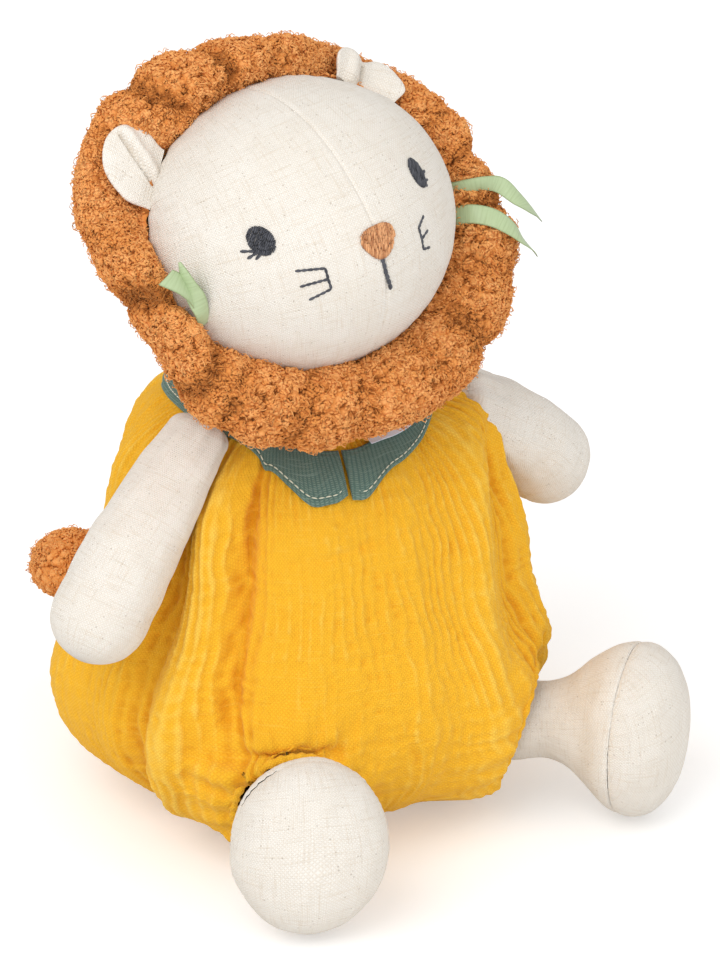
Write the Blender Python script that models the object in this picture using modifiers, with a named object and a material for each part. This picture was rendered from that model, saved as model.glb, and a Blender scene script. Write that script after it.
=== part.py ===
"""Seated plush lion in a bubble romper, as the sewn covers, fillings and trims it is made from.

Metres, +Z up. The lion sits on z = 0 and faces -Y, so its own left is +X. Every stuffed piece
is a linen or teddy cover, open where it is sewn on, round a separate filling.
"""
import math

import bmesh
import bpy
from mathutils import Euler, Matrix, Vector

# Cloth thicknesses and sewing allowances
LINEN_THICK = 0.0009
TEDDY_THICK = 0.0016
GAUZE_THICK = 0.0011
TWILL_THICK = 0.0010
SATIN_THICK = 0.0006
THREAD_RISE = 0.0008
SEW_GAP = 0.0003
SLACK = 0.0003
WELD_SHARE = 0.1

# Romper and torso
ROMPER_HALF_WIDTH = 0.0775
ROMPER_HALF_DEPTH = 0.0720
ROMPER_HEIGHT = 0.1322
SEAT_RADIUS = 0.0350
FRONT_DROP = 0.0050
CLOTH_EASE = 0.0045
CROTCH_FORWARD = 0.0140
FOLD_DEPTH = 0.0045
ARM_DENT = 0.0045
ARM_DENT_SHARES = (0.62, 0.16)
SEAT_SHARES = (0.45, 0.85)
NECK_RIM_SHARE = 0.7
SHOULDER_DENT = 0.0017
DENT_BELOW = 0.0070
DENT_WIDTH = 0.0170

# Neck and head
NECK_X = -0.0010
NECK_Y = -0.0080
NECK_RISE = 0.0054
NECK_Z = ROMPER_HEIGHT + NECK_RISE
NECK_BALL = 0.0136
HEAD_X = -0.0125
HEAD_Y = -0.0190
HEAD_RISE = 0.0566
HEAD_Z = ROMPER_HEIGHT + HEAD_RISE
HEAD_HALF_WIDTH = 0.0490
HEAD_HALF_DEPTH = 0.0460
HEAD_HALF_HEIGHT = 0.0430
HEAD_TIP_DEGREES = (-17.3, -9.0, 8.5)
SEAM_FORWARD = 0.0065
SEAM_LEAN_SHARE = 0.28
MUZZLE_RISE = 0.0024
MUZZLE_DOWN = 0.0060
MUZZLE_HALF_WIDTH = 0.0160
MUZZLE_HALF_HEIGHT = 0.0180
LEFT_FACE_SHARE = 0.80

# Mane: a gathered teddy sleeve round the face seam
MANE_RADIAL = 0.0115
MANE_AXIAL = 0.0115
MANE_SET_BACK = 0.0010
MANE_EAR_BACK = 0.0075
MANE_EAR_DIP_SHARE = 0.76
MANE_EAR_REACH_DEGREES = 23.0
MANE_OPEN_SHARE = 0.80
MANE_PLEATS = 20
PLEAT_DEPTH = 0.0022
MANE_SWEEP_SHARES = (
    (-180.0, 0.58), (-150.0, 0.74), (-120.0, 0.88), (-90.0, 0.98), (-60.0, 1.06), (-30.0, 0.82),
    (0.0, 0.60), (30.0, 0.55), (60.0, 0.54), (90.0, 0.62), (120.0, 0.82), (150.0, 0.72),
    (180.0, 0.58),
)

# Arms
SHOULDER_DROP = 0.0106
RIGHT_HAND_DROP = 0.0476
LEFT_HAND_DROP = 0.0404
RIGHT_SHOULDER = (-0.0483, -0.0194, ROMPER_HEIGHT - SHOULDER_DROP)
LEFT_SHOULDER = (0.0483, -0.0194, ROMPER_HEIGHT - SHOULDER_DROP)
ARM_ROOT_THIN = 0.0058
ARM_ROOT_WIDE = 0.0100
HAND_RADIUS = 0.0148
RIGHT_HAND = (-0.0800, -0.0300, ROMPER_HEIGHT - RIGHT_HAND_DROP)
LEFT_HAND = (0.0790, -0.0090, ROMPER_HEIGHT - LEFT_HAND_DROP)

# Legs and feet
LEG_RADIUS = 0.0145
LEG_WAIST = 0.0122
FOOT_HALF_WIDTH = 0.0232
FOOT_HALF_HEIGHT = 0.0276
SOLE_DOME = 0.0170
HIP_Z = 0.0280
FOOT_Z = 0.0296
RIGHT_FOOT_TURN = -106.0
LEFT_FOOT_TURN = -48.0
RIGHT_HIP = (-0.0364, -0.0665)
RIGHT_FOOT = (-0.0430, -0.0900)
LEFT_HIP = (0.0478, -0.0526)
LEFT_FOOT = (0.0737, -0.0741)
HEM_ROLL = 0.0013
LEG_PLAY = 0.0014
HOLE_REACH = 0.0300
HEM_ALONG = -0.0005
HEM_SLANT = 0.0075
CUFF_REACH = 0.0140

# Tail
TAIL_RADIUS = 0.0042
TUFT_RADIUS = 0.0110
TUFT_HALF_LENGTH = 0.0150
TAIL_BASE_Z = 0.0300
TAIL_REACH = 0.0455
TUFT_RISE = 0.0140

# Ears
RIGHT_EAR_DEGREES = 50.0
LEFT_EAR_DEGREES = 50.0
RIGHT_EAR_LEAN = 12.0
LEFT_EAR_LEAN = 24.0
EAR_HALF_WIDTH = 0.0125
EAR_LENGTH = 0.0160
EAR_CUP = 0.0045
RIGHT_EAR_STAND = 0.0012
LEFT_EAR_STAND = 0.0020

# Face embroidery, as lateral and upward places on the face
EYE_OUT = 0.0288
EYE_UP = 0.0088
EYE_HALF_WIDTH = 0.0030
EYE_HALF_HEIGHT = 0.0042
LASH_LENGTH = 0.0024
NOSE_DOWN = 0.0020
NOSE_HALF_WIDTH = 0.0053
NOSE_HALF_HEIGHT = 0.0050
MOUTH_TOP = 0.0062
MOUTH_BOTTOM = 0.0160
THREAD_WIDTH = 0.0012
WHISKER_IN = 0.0164
WHISKER_OUT = 0.0238
WHISKER_UP = 0.0038
WHISKER_STEP = 0.0030
WHISKER_SPREAD_SHARE = 0.55

# Collar, label and ribbons
COLLAR_INNER = 0.0230
COLLAR_NECKLINE = 0.0150
COLLAR_WIDTH = 0.0268
COLLAR_LIFT = 0.0008
# Width of each leaf from its front corner to the back of the neck
COLLAR_RIGHT_SHARES = (
    (0.0, 0.93), (5.0, 0.99), (13.0, 1.00), (22.0, 0.88), (34.0, 0.68), (52.0, 0.56), (90.0, 0.56),
    (120.0, 0.64), (150.0, 0.74), (166.0, 0.70), (180.0, 0.50),
)
COLLAR_LEFT_SHARES = (
    (0.0, 0.96), (4.0, 0.95), (13.0, 0.84), (22.0, 0.78), (34.0, 0.72), (52.0, 0.66), (90.0, 0.66),
    (120.0, 0.75), (150.0, 0.80), (166.0, 0.72), (180.0, 0.50),
)
NECKLINE_SHARE = 0.26
SHOULDER_SEARCH_SHARES = (0.55, 1.0, 0.01)
LABEL_IN_SHARE = 0.45
LABEL_LENGTH = 0.0065
RIBBON_WIDTH = 0.0060
RIBBON_FREE = 0.0100
RIBBON_DROOP = 0.0015
RIBBON_TAB = 0.0010


def smooth_step(edge0, edge1, value):
    """Ease from 0 at edge0 to 1 at edge1."""
    share = min(1.0, max(0.0, (value - edge0) / (edge1 - edge0)))
    return share * share * (3.0 - 2.0 * share)


def bump(value, centre, width):
    """A smooth hill of height 1 at centre."""
    return math.exp(-((value - centre) / width) ** 2)


def through(stations, share):
    """Read a smooth curve through (share, value) stations."""
    last = len(stations) - 1
    index = 0
    while index < last - 1 and share > stations[index + 1][0]:
        index += 1
    x0, y0 = stations[index]
    x1, y1 = stations[index + 1]
    before = stations[max(0, index - 1)]
    after = stations[min(last, index + 2)]
    slope0 = (y1 - before[1]) / (x1 - before[0]) if x1 != before[0] else 0.0
    slope1 = (after[1] - y0) / (after[0] - x0) if after[0] != x0 else 0.0
    span = x1 - x0
    t = min(1.0, max(0.0, (share - x0) / span))
    h00 = 2 * t ** 3 - 3 * t ** 2 + 1
    h10 = t ** 3 - 2 * t ** 2 + t
    h01 = -2 * t ** 3 + 3 * t ** 2
    h11 = t ** 3 - t ** 2
    return h00 * y0 + h10 * span * slope0 + h01 * y1 + h11 * span * slope1


def make_material(name, colour, roughness):
    """A plain cloth material."""
    material = bpy.data.materials.new(name)
    material.use_nodes = True
    shader = material.node_tree.nodes["Principled BSDF"]
    shader.inputs["Base Color"].default_value = (*colour, 1.0)
    shader.inputs["Roughness"].default_value = roughness
    shader.inputs["Metallic"].default_value = 0.0
    return material


def new_object(name, mesh, material, collection, origin=Vector()):
    """Put a mesh made in world places on an object whose origin is on its joint."""
    mesh.transform(Matrix.Translation(-origin))
    part = bpy.data.objects.new(name, mesh)
    part.location = origin
    part.data.materials.append(material)
    part.data.shade_smooth()
    collection.objects.link(part)
    return part


def grid_mesh(name, rows, closed=False, start_cap=None, end_cap=None):
    """Skin rows of points; closed joins each row's ends, and a cap closes an end on one point."""
    mesh = bpy.data.meshes.new(name)
    skin = bmesh.new()
    made = []
    for row in rows:
        made.append([skin.verts.new(point) for point in row])
    count = len(rows[0])
    spans = count if closed else count - 1
    for low, high in zip(made, made[1:]):
        for index in range(spans):
            follow = (index + 1) % count
            skin.faces.new((low[index], low[follow], high[follow], high[index]))
    for cap, row, turned in ((start_cap, made[0], True), (end_cap, made[-1], False)):
        if cap is None:
            continue
        tip = skin.verts.new(cap)
        for index in range(spans):
            follow = (index + 1) % count
            edge = (row[follow], row[index]) if turned else (row[index], row[follow])
            skin.faces.new((*edge, tip))
    skin.to_mesh(mesh)
    skin.free()
    return mesh


def flip_if_inward(mesh):
    """Turn a closed mesh's faces outward."""
    solid = bmesh.new()
    solid.from_mesh(mesh)
    bmesh.ops.recalc_face_normals(solid, faces=solid.faces)
    if solid.calc_volume(signed=True) < 0.0:
        bmesh.ops.reverse_faces(solid, faces=solid.faces)
    solid.to_mesh(mesh)
    solid.free()


def face_away(mesh, centre):
    """Turn an open sheet's faces away from a point."""
    sheet = bmesh.new()
    sheet.from_mesh(mesh)
    bmesh.ops.recalc_face_normals(sheet, faces=sheet.faces)
    lean = sum(face.normal.dot(face.calc_center_median() - centre) for face in sheet.faces)
    if lean < 0.0:
        bmesh.ops.reverse_faces(sheet, faces=sheet.faces)
    sheet.to_mesh(mesh)
    sheet.free()


def thicken(part, thickness, outward=False):
    """Give a sheet its cloth thickness, inward unless told otherwise."""
    solidify = part.modifiers.new("cloth", "SOLIDIFY")
    solidify.thickness = thickness
    solidify.offset = 1.0 if outward else -1.0
    solidify.use_even_offset = False
    return solidify


def cut(part, cutter):
    """Take a cutter out of a part."""
    boolean = part.modifiers.new("cut", "BOOLEAN")
    boolean.operation = "DIFFERENCE"
    boolean.solver = "EXACT"
    boolean.object = cutter
    return boolean


def new_cutter(name, solid, cutters):
    """Put a cutter's solid in the cutters' collection, hidden from renders."""
    mesh = bpy.data.meshes.new(name)
    solid.to_mesh(mesh)
    solid.free()
    cutter = bpy.data.objects.new(name, mesh)
    cutter.hide_render = True
    cutter.display_type = "WIRE"
    cutters.objects.link(cutter)
    return cutter


def ball_cutter(name, centre, radius, cutters):
    """A round cutter about a joint."""
    ball = bmesh.new()
    bmesh.ops.create_uvsphere(ball, u_segments=24, v_segments=12, radius=radius)
    bmesh.ops.translate(ball, verts=ball.verts, vec=centre)
    return new_cutter(name, ball, cutters)


def tube_cutter(name, centre, direction, radius, cutters):
    """A round cutter along a leg, long enough for a hole in the cloth near its pivot."""
    tube = bmesh.new()
    bmesh.ops.create_cone(tube, cap_ends=True, segments=24, radius1=radius, radius2=radius,
                          depth=2.0 * HOLE_REACH)
    turn = direction.to_track_quat("Z", "Y").to_matrix().to_4x4()
    bmesh.ops.transform(tube, matrix=Matrix.Translation(centre) @ turn, verts=tube.verts)
    return new_cutter(name, tube, cutters)


# Torso and romper: one round form, read at an azimuth from the lion's left and a share of height

BODY_SHARES = (
    (0.00, 0.50), (0.04, 0.66), (0.11, 0.84), (0.20, 0.955), (0.30, 1.00), (0.41, 0.975),
    (0.52, 0.905), (0.64, 0.84), (0.76, 0.772), (0.86, 0.695), (0.94, 0.56), (1.00, 0.36),
)
FOLD_FALL_SHARES = (0.12, 0.84)
# Each fold: its azimuth at shares of height, its width in degrees and its share of the fold depth
ROMPER_FOLD_SHARES = (
    (((0.0, -148.0), (0.35, -146.0), (0.6, -144.0), (1.0, -142.0)), 6.5, 1.1),
    (((0.0, -160.0), (0.4, -157.5), (0.7, -156.5), (1.0, -156.0)), 5.0, -0.65),
    (((0.0, -127.0), (0.36, -130.0), (0.6, -132.0), (1.0, -128.0)), 5.0, -0.65),
    (((0.0, -72.0), (0.28, -69.0), (0.5, -63.0), (0.7, -57.0), (1.0, -46.0)), 7.0, 0.75),
    (((0.0, -50.0), (0.3, -50.0), (0.5, -46.0), (0.7, -41.0), (1.0, -34.0)), 7.0, -0.65),
    (((0.0, -24.0), (1.0, -20.0)), 7.0, -0.50),
    (((0.0, -9.0), (0.35, -7.0), (1.0, -2.0)), 7.0, -0.35),
    (((0.0, 14.0), (1.0, 14.0)), 8.0, 0.50),
    (((0.0, 38.0), (1.0, 32.0)), 9.0, -0.50),
    (((0.0, 66.0), (1.0, 60.0)), 9.0, 0.60),
    (((0.0, 95.0), (1.0, 92.0)), 9.0, -0.50),
    (((0.0, 122.0), (1.0, 124.0)), 9.0, 0.60),
    (((0.0, 148.0), (1.0, 152.0)), 9.0, -0.50),
    (((0.0, -171.0), (0.35, -173.0), (1.0, -178.0)), 6.0, -0.35),
    (((0.0, 171.0), (1.0, 170.0)), 8.0, 0.50),
)


def fold_at(azimuth, height_share):
    """How far the romper's main folds push the cloth out, as a share of their depth."""
    low, high = FOLD_FALL_SHARES
    fall = smooth_step(0.0, low, height_share) * (1.0 - smooth_step(high, 1.0, height_share))
    total = 0.0
    degrees = math.degrees(azimuth)
    for course, width, depth in ROMPER_FOLD_SHARES:
        away = (degrees - through(course, height_share) + 180.0) % 360.0 - 180.0
        total += depth * bump(away, 0.0, width)
    return total * fall


def hip_points():
    """The two hip pivots, lion's right then left."""
    return (Vector((*RIGHT_HIP, HIP_Z)), Vector((*LEFT_HIP, HIP_Z)))


def leg_ends():
    """Hip, foot and the azimuth the sole faces, for the lion's right leg then the left."""
    right_hip, left_hip = hip_points()
    return (
        (right_hip, Vector((*RIGHT_FOOT, FOOT_Z)), RIGHT_FOOT_TURN),
        (left_hip, Vector((*LEFT_FOOT, FOOT_Z)), LEFT_FOOT_TURN),
    )


def leg_headings():
    """Each hip pivot with the direction its leg leaves in."""
    return [(hip, curve_at(*leg_line(hip, foot, turn), 0.0)[1]) for hip, foot, turn in leg_ends()]


def shoulder_points():
    """The two shoulder pivots, lion's right then left."""
    return Vector(RIGHT_SHOULDER), Vector(LEFT_SHOULDER)


def body_point(azimuth, height_share, inset, folded):
    """A point of the body form, inset by a length and with or without the romper's folds."""
    width = through(BODY_SHARES, height_share)
    depth = FOLD_DEPTH * fold_at(azimuth, height_share) if folded else 0.0
    half_x = ROMPER_HALF_WIDTH * width + depth - inset
    half_x -= ARM_DENT * bump(height_share, *ARM_DENT_SHARES)
    half_y = ROMPER_HALF_DEPTH * width + depth - inset
    x = half_x * math.cos(azimuth)
    y = half_y * math.sin(azimuth)
    z = inset + (ROMPER_HEIGHT - 2.0 * inset) * height_share
    z += FRONT_DROP * height_share ** 2 * y / ROMPER_HALF_DEPTH
    place = Vector((x, y, z))
    if folded:
        place += cuff_pull(place)
        for shoulder in shoulder_points():
            away = (place - shoulder + Vector((0.0, 0.0, DENT_BELOW))).length
            place -= Vector((x, y, 0.0)).normalized() * (SHOULDER_DENT * bump(away, 0.0, DENT_WIDTH))
    return place


def cuff_pull(place):
    """How far the cloth is drawn along a leg to its hem, for a point of the romper's form."""
    pull = Vector()
    for hip, heading in leg_headings():
        away = place - hip
        along = away.dot(heading)
        across = away - heading * along
        clear = across.length
        hem = HEM_ALONG + HEM_SLANT * max(-1.0, min(1.0, across.z / hem_radius()))
        if abs(along) > CUFF_REACH * 2.0:
            continue
        share = 1.0 - smooth_step(hem_radius(), hem_radius() + CUFF_REACH, clear)
        pull += heading * ((hem - along) * share)
    return pull


def body_rows(inset, folded, azimuths, heights):
    """Rows of the body form from the seat's middle to the neck hole."""
    rows = []
    seat = SEAT_RADIUS - inset
    for share in SEAT_SHARES:
        rows.append([
            Vector((seat * share * math.cos(azimuth), seat * share * math.sin(azimuth), inset))
            for azimuth in azimuths
        ])
    for height_share in heights:
        rows.append([body_point(azimuth, height_share, inset, folded) for azimuth in azimuths])
    return rows


def even_azimuths(count):
    """Azimuths in equal steps round the body."""
    return [2.0 * math.pi * index / count for index in range(count)]


def romper_azimuths():
    """Azimuths that are closer together where the legs leave the romper."""
    close = [-145.0 + 6.0 * index for index in range(22)]
    wide = [-19.0 + 234.0 * index / 17 for index in range(1, 17)]
    return [math.radians(degrees) for degrees in close + wide]


def romper_panels(collection, material, cutters):
    """Front and back gauze panels, open at neck and legs."""
    heights = (0.0, 0.03, 0.07, 0.12, 0.17, 0.22, 0.27, 0.33, 0.40, 0.50, 0.62, 0.74, 0.85, 0.94, 1.0)
    panels = []
    lean = Vector((0.0, ROMPER_HEIGHT, -CROTCH_FORWARD)).normalized()
    for name, side in (("romper_front", -1.0), ("romper_back", 1.0)):
        rows = body_rows(0.0, True, romper_azimuths(), heights)
        mesh = grid_mesh(name, rows, closed=True, start_cap=Vector())
        panel = bmesh.new()
        panel.from_mesh(mesh)
        bmesh.ops.recalc_face_normals(panel, faces=panel.faces)
        seam = Vector((0.0, -CROTCH_FORWARD + side * 0.5 * SEW_GAP, 0.0))
        bmesh.ops.bisect_plane(
            panel, geom=panel.verts[:] + panel.edges[:] + panel.faces[:], dist=SEW_GAP * WELD_SHARE,
            plane_co=seam, plane_no=lean * -side, clear_outer=True,
        )
        panel.to_mesh(mesh)
        panel.free()
        face_away(mesh, Vector((0.0, 0.0, ROMPER_HEIGHT * 0.5)))
        part = new_object(name, mesh, material, collection)
        thicken(part, GAUZE_THICK)
        panels.append(part)
    for (hip, foot, turn), label in zip(leg_ends(), ("right", "left")):
        radius = hem_radius() + HEM_ROLL + SEW_GAP
        heading = curve_at(*leg_line(hip, foot, turn), 0.0)[1]
        cutter = tube_cutter("romper_leg_hole_" + label, hip, heading, radius, cutters)
        for part in panels:
            cut(part, cutter)
    return panels


def neck_rim(row):
    """The torso's top edge drawn in to the neck."""
    neck = neck_point()
    rim = []
    for point in row:
        inward = Vector((neck.x - point.x, neck.y - point.y, 0.0))
        rim.append(point + inward * (1.0 - NECK_RIM_SHARE * NECK_BALL / inward.length))
    return rim


def torso(collection, linen, stuffing, cutters):
    """The linen torso under the romper and its filling, hollowed at neck and hips."""
    heights = (0.0, 0.06, 0.17, 0.34, 0.54, 0.72, 0.86, 0.95, 1.0)
    rows = body_rows(CLOTH_EASE, False, even_azimuths(24), heights)
    rows.append(neck_rim(rows[-1]))
    cover_mesh = grid_mesh("torso_cover", rows, closed=True, start_cap=Vector((0.0, 0.0, CLOTH_EASE)))
    face_away(cover_mesh, Vector((0.0, 0.0, ROMPER_HEIGHT * 0.5)))
    cover = new_object("torso_cover", cover_mesh, linen, collection)
    thicken(cover, LINEN_THICK)
    inset = CLOTH_EASE + LINEN_THICK + 4.0 * SEW_GAP
    rows = body_rows(inset, False, even_azimuths(24), heights)
    filling_mesh = grid_mesh("torso_filling", rows, closed=True, start_cap=Vector((0.0, 0.0, inset)),
                             end_cap=sum(rows[-1], Vector()) / len(rows[-1]))
    flip_if_inward(filling_mesh)
    filling = new_object("torso_filling", filling_mesh, stuffing, collection)
    for hip, label in zip(hip_points(), ("right", "left")):
        cutter = ball_cutter("torso_hip_" + label, hip, LEG_RADIUS + SEW_GAP, cutters)
        cut(cover, cutter)
        cut(filling, cutter)
    neck = ball_cutter("torso_neck", neck_point(), NECK_BALL + SEW_GAP, cutters)
    cut(cover, neck)
    cut(filling, neck)
    return cover, filling


def hem_radius():
    """Middle radius of a leg hem, clear of a leg that swings."""
    return LEG_RADIUS + LEG_PLAY + HEM_ROLL


def leg_hem(name, hip, direction, collection, material):
    """A rolled hem round a leg opening, square to the leg at its pivot."""
    turn = direction.to_track_quat("Z", "Y").to_matrix()
    rows = []
    for step in range(24):
        around = 2.0 * math.pi * step / 24
        out = turn @ Vector((math.cos(around), math.sin(around), 0.0))
        centre = hip + out * hem_radius() + direction * (HEM_ALONG + HEM_SLANT * out.z)
        rows.append([
            centre + (out * math.cos(angle) + direction * math.sin(angle)) * HEM_ROLL
            for angle in (2.0 * math.pi * index / 6 for index in range(6))
        ])
    rows.append(rows[0])
    mesh = grid_mesh(name, rows, closed=True)
    ring = bmesh.new()
    ring.from_mesh(mesh)
    bmesh.ops.remove_doubles(ring, verts=ring.verts, dist=SEW_GAP * WELD_SHARE)
    ring.to_mesh(mesh)
    ring.free()
    flip_if_inward(mesh)
    return new_object(name, mesh, material, collection, hip)


# Limbs: sections along a bent centre line that starts at the pivot with a ball end

def curve_at(start, bend, end, share):
    """Place and direction along a bent centre line."""
    place = start * (1 - share) ** 2 + bend * (2 * share * (1 - share)) + end * share ** 2
    direction = (bend - start) * (2 * (1 - share)) + (end - bend) * (2 * share)
    return place, direction.normalized()


def section(place, direction, half_side, half_rise, around, level):
    """One elliptical section square to the limb; level is the direction of its first axis."""
    side = (level - direction * level.dot(direction)).normalized()
    rise = direction.cross(side).normalized()
    return [
        place + side * (half_side * math.cos(angle)) + rise * (half_rise * math.sin(angle))
        for angle in (2.0 * math.pi * index / around for index in range(around))
    ]


def limb_rows(line, level, ball, stations_side, stations_rise, shares, around, inset):
    """Rows of a limb: ball end shares below zero, then stations along the line."""
    start, bend, end = line
    rows = []
    for share in shares:
        if share < 0.0:
            place, direction = curve_at(start, bend, end, 0.0)
            place = place + direction * ((ball - inset) * share)
            shrink = math.sqrt(max(0.0, 1.0 - share * share))
            half_side = (through(stations_side, 0.0) - inset) * shrink
            half_rise = (through(stations_rise, 0.0) - inset) * shrink
        else:
            place, direction = curve_at(start, bend, end, share)
            half_side = through(stations_side, share) - inset
            half_rise = through(stations_rise, share) - inset
        rows.append(section(place, direction, half_side, half_rise, around, level))
    return rows


def arm_line(shoulder, hand):
    """Centre line of an arm, bowed a little away from the body."""
    middle = (shoulder + hand) * 0.5
    outward = Vector((middle.x, middle.y, 0.0)).normalized()
    return shoulder, middle + outward * (0.25 * HAND_RADIUS), hand


def arm(label, shoulder, hand, collection, linen, stuffing):
    """One arm: thin and flat where it is sewn on, round at the hand."""
    line = arm_line(shoulder, hand)
    down = (hand - shoulder).normalized()
    outward = Vector((shoulder.x, shoulder.y, 0.0)).normalized()
    level = (outward - down * outward.dot(down)).normalized()
    thin = ((0.0, ARM_ROOT_THIN), (0.3, 0.60 * HAND_RADIUS), (0.62, 0.86 * HAND_RADIUS),
            (1.0, 0.97 * HAND_RADIUS))
    wide = ((0.0, ARM_ROOT_WIDE), (0.3, 0.80 * HAND_RADIUS), (0.62, 0.92 * HAND_RADIUS),
            (1.0, HAND_RADIUS))
    bend_shares = (-0.93, -0.6, 0.0, 0.16, 0.34, 0.52, 0.70, 0.86, 1.0)
    made = []
    for name, inset, material, around in (
        ("cover", 0.0, linen, 16), ("filling", LINEN_THICK + SEW_GAP, stuffing, 12),
    ):
        rows = limb_rows(line, level, ARM_ROOT_THIN, thin, wide, bend_shares, around, inset)
        end, direction = curve_at(*line, 1.0)
        radius = HAND_RADIUS - inset
        for share in (0.38, 0.70, 0.90):
            squeeze = math.sqrt(1.0 - share * share)
            rows.append(section(end + direction * (radius * share), direction,
                                (0.97 * HAND_RADIUS - inset) * squeeze, radius * squeeze, around, level))
        tip = end + direction * radius
        node = "arm_" + label + "_" + name
        start_cap = None if name == "cover" else sum(rows[0], Vector()) / around
        mesh = grid_mesh(node, rows, closed=True, start_cap=start_cap, end_cap=tip)
        if name == "cover":
            face_away(mesh, (shoulder + hand) * 0.5)
        else:
            flip_if_inward(mesh)
        part = new_object(node, mesh, material, collection, shoulder)
        if name == "cover":
            thicken(part, LINEN_THICK)
        made.append(part)
    return made


def leg_line(hip, foot, turn_degrees):
    """Centre line of a leg, which bends so that the sole faces an azimuth."""
    heading = Vector((math.cos(math.radians(turn_degrees)), math.sin(math.radians(turn_degrees)), 0.0))
    return hip, foot - heading * (0.5 * (foot - hip).length), foot


def leg(label, hip, foot, turn_degrees, collection, linen, stuffing):
    """One leg: a tube from the hip's ball that flares into a tall foot, and a domed sole."""
    line = leg_line(hip, foot, turn_degrees)
    level = Vector((0.0, 0.0, 1.0))
    rise = ((0.0, LEG_WAIST), (0.28, LEG_WAIST), (0.46, LEG_RADIUS), (0.62, 0.72 * FOOT_HALF_WIDTH),
            (0.84, 0.93 * FOOT_HALF_WIDTH), (1.0, FOOT_HALF_WIDTH))
    side = ((0.0, LEG_WAIST), (0.28, LEG_WAIST), (0.46, LEG_RADIUS), (0.62, 0.72 * FOOT_HALF_HEIGHT),
            (0.84, 0.93 * FOOT_HALF_HEIGHT), (1.0, FOOT_HALF_HEIGHT))
    shares = (-0.93, -0.6, 0.0, 0.2, 0.38, 0.55, 0.70, 0.85, 1.0)
    around = 20
    end, direction = curve_at(*line, 1.0)
    node = "leg_" + label
    rows = limb_rows(line, level, LEG_RADIUS, side, rise, shares, around, 0.0)
    mesh = grid_mesh(node + "_cover", rows, closed=True)
    face_away(mesh, (hip + foot) * 0.5)
    cover = new_object(node + "_cover", mesh, linen, collection, hip)
    thicken(cover, LINEN_THICK)
    seam = end + direction * (LINEN_THICK + SEW_GAP)
    sole_rows = sole_sections(seam, direction, level, around, 0.0)
    mesh = grid_mesh("sole_" + label, sole_rows, closed=True, end_cap=seam + direction * SOLE_DOME)
    face_away(mesh, end - direction * FOOT_HALF_WIDTH)
    sole = new_object("sole_" + label, mesh, linen, collection, hip)
    thicken(sole, LINEN_THICK)
    inset = LINEN_THICK + 4.0 * SEW_GAP
    rows = limb_rows(line, level, LEG_RADIUS, side, rise, shares, around, inset)
    rows += sole_sections(end, direction, level, around, inset)[1:]
    mesh = grid_mesh(node + "_filling", rows, closed=True, start_cap=sum(rows[0], Vector()) / around,
                     end_cap=end + direction * (SOLE_DOME - inset))
    flip_if_inward(mesh)
    filling = new_object(node + "_filling", mesh, stuffing, collection, hip)
    return cover, sole, filling


def sole_sections(end, direction, level, around, inset):
    """Sections of the domed sole from its seam to near its tip."""
    rows = []
    for share in (0.0, 0.42, 0.74, 0.93):
        squeeze = (1.0 - share ** 2.4) ** (1.0 / 2.4)
        rows.append(section(end + direction * ((SOLE_DOME - inset) * share), direction,
                            (FOOT_HALF_HEIGHT - inset) * squeeze, (FOOT_HALF_WIDTH - inset) * squeeze,
                            around, level))
    return rows


# Head: an ellipsoid in its own tipped frame, whose equator is the seam that carries the mane

def head_matrix():
    """The head's frame: x to its left, y to its back, z to its top."""
    turn = Euler([math.radians(angle) for angle in HEAD_TIP_DEGREES], "XYZ").to_matrix()
    return Matrix.Translation(Vector((HEAD_X, HEAD_Y, HEAD_Z))) @ turn.to_4x4()


def neck_point():
    """The ball of the neck, about which the head turns and nods."""
    return Vector((NECK_X, NECK_Y, NECK_Z))


def muzzle_at(lateral, upward):
    """How far the muzzle stands out of the round face at a lateral and upward place."""
    across = bump(lateral, 0.0, MUZZLE_HALF_WIDTH)
    return MUZZLE_RISE * across * bump(upward, -MUZZLE_DOWN, MUZZLE_HALF_HEIGHT)


def face_place(lateral, upward, proud=0.0):
    """A point on the face at a lateral and upward place, standing proud of the cover."""
    if lateral > 0.0:
        lateral *= LEFT_FACE_SHARE
    width = lateral / HEAD_HALF_WIDTH
    height = upward / HEAD_HALF_HEIGHT
    forward = -math.sqrt(max(0.0, 1.0 - width * width - height * height))
    place = Vector((lateral, HEAD_HALF_DEPTH * forward, upward))
    return head_matrix() @ (place + head_normal(place) * (proud + muzzle_at(lateral, upward)))


def head_normal(place):
    """Outward direction of the head's round form at a place in its own frame."""
    return Vector((
        place.x / HEAD_HALF_WIDTH ** 2, place.y / HEAD_HALF_DEPTH ** 2, place.z / HEAD_HALF_HEIGHT ** 2,
    )).normalized()


def seam_tilt(sweep):
    """Angle from the nose to the face seam, which leans back at the top, at a sweep angle."""
    rise = SEAM_LEAN_SHARE * HEAD_HALF_HEIGHT * math.sin(sweep)
    reach = math.hypot(HEAD_HALF_DEPTH, rise)
    return math.atan2(rise, HEAD_HALF_DEPTH) + math.acos(SEAM_FORWARD / reach)


def head_ring(tilt_at, sweep, inset):
    """A row of head points, one for each sweep angle, at that angle's tilt from the nose."""
    row = []
    for angle in sweep:
        tilt = tilt_at(angle)
        x = (HEAD_HALF_WIDTH - inset) * math.sin(tilt) * math.cos(angle)
        y = -(HEAD_HALF_DEPTH - inset) * math.cos(tilt)
        z = (HEAD_HALF_HEIGHT - inset) * math.sin(tilt) * math.sin(angle)
        place = Vector((x, y, z))
        if y < 0.0:
            place += head_normal(place) * muzzle_at(x, z)
        row.append(place)
    return row


def seam_place(sweep):
    """A point of the face seam, in the head's frame."""
    return head_ring(seam_tilt, (sweep,), 0.0)[0]


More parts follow.
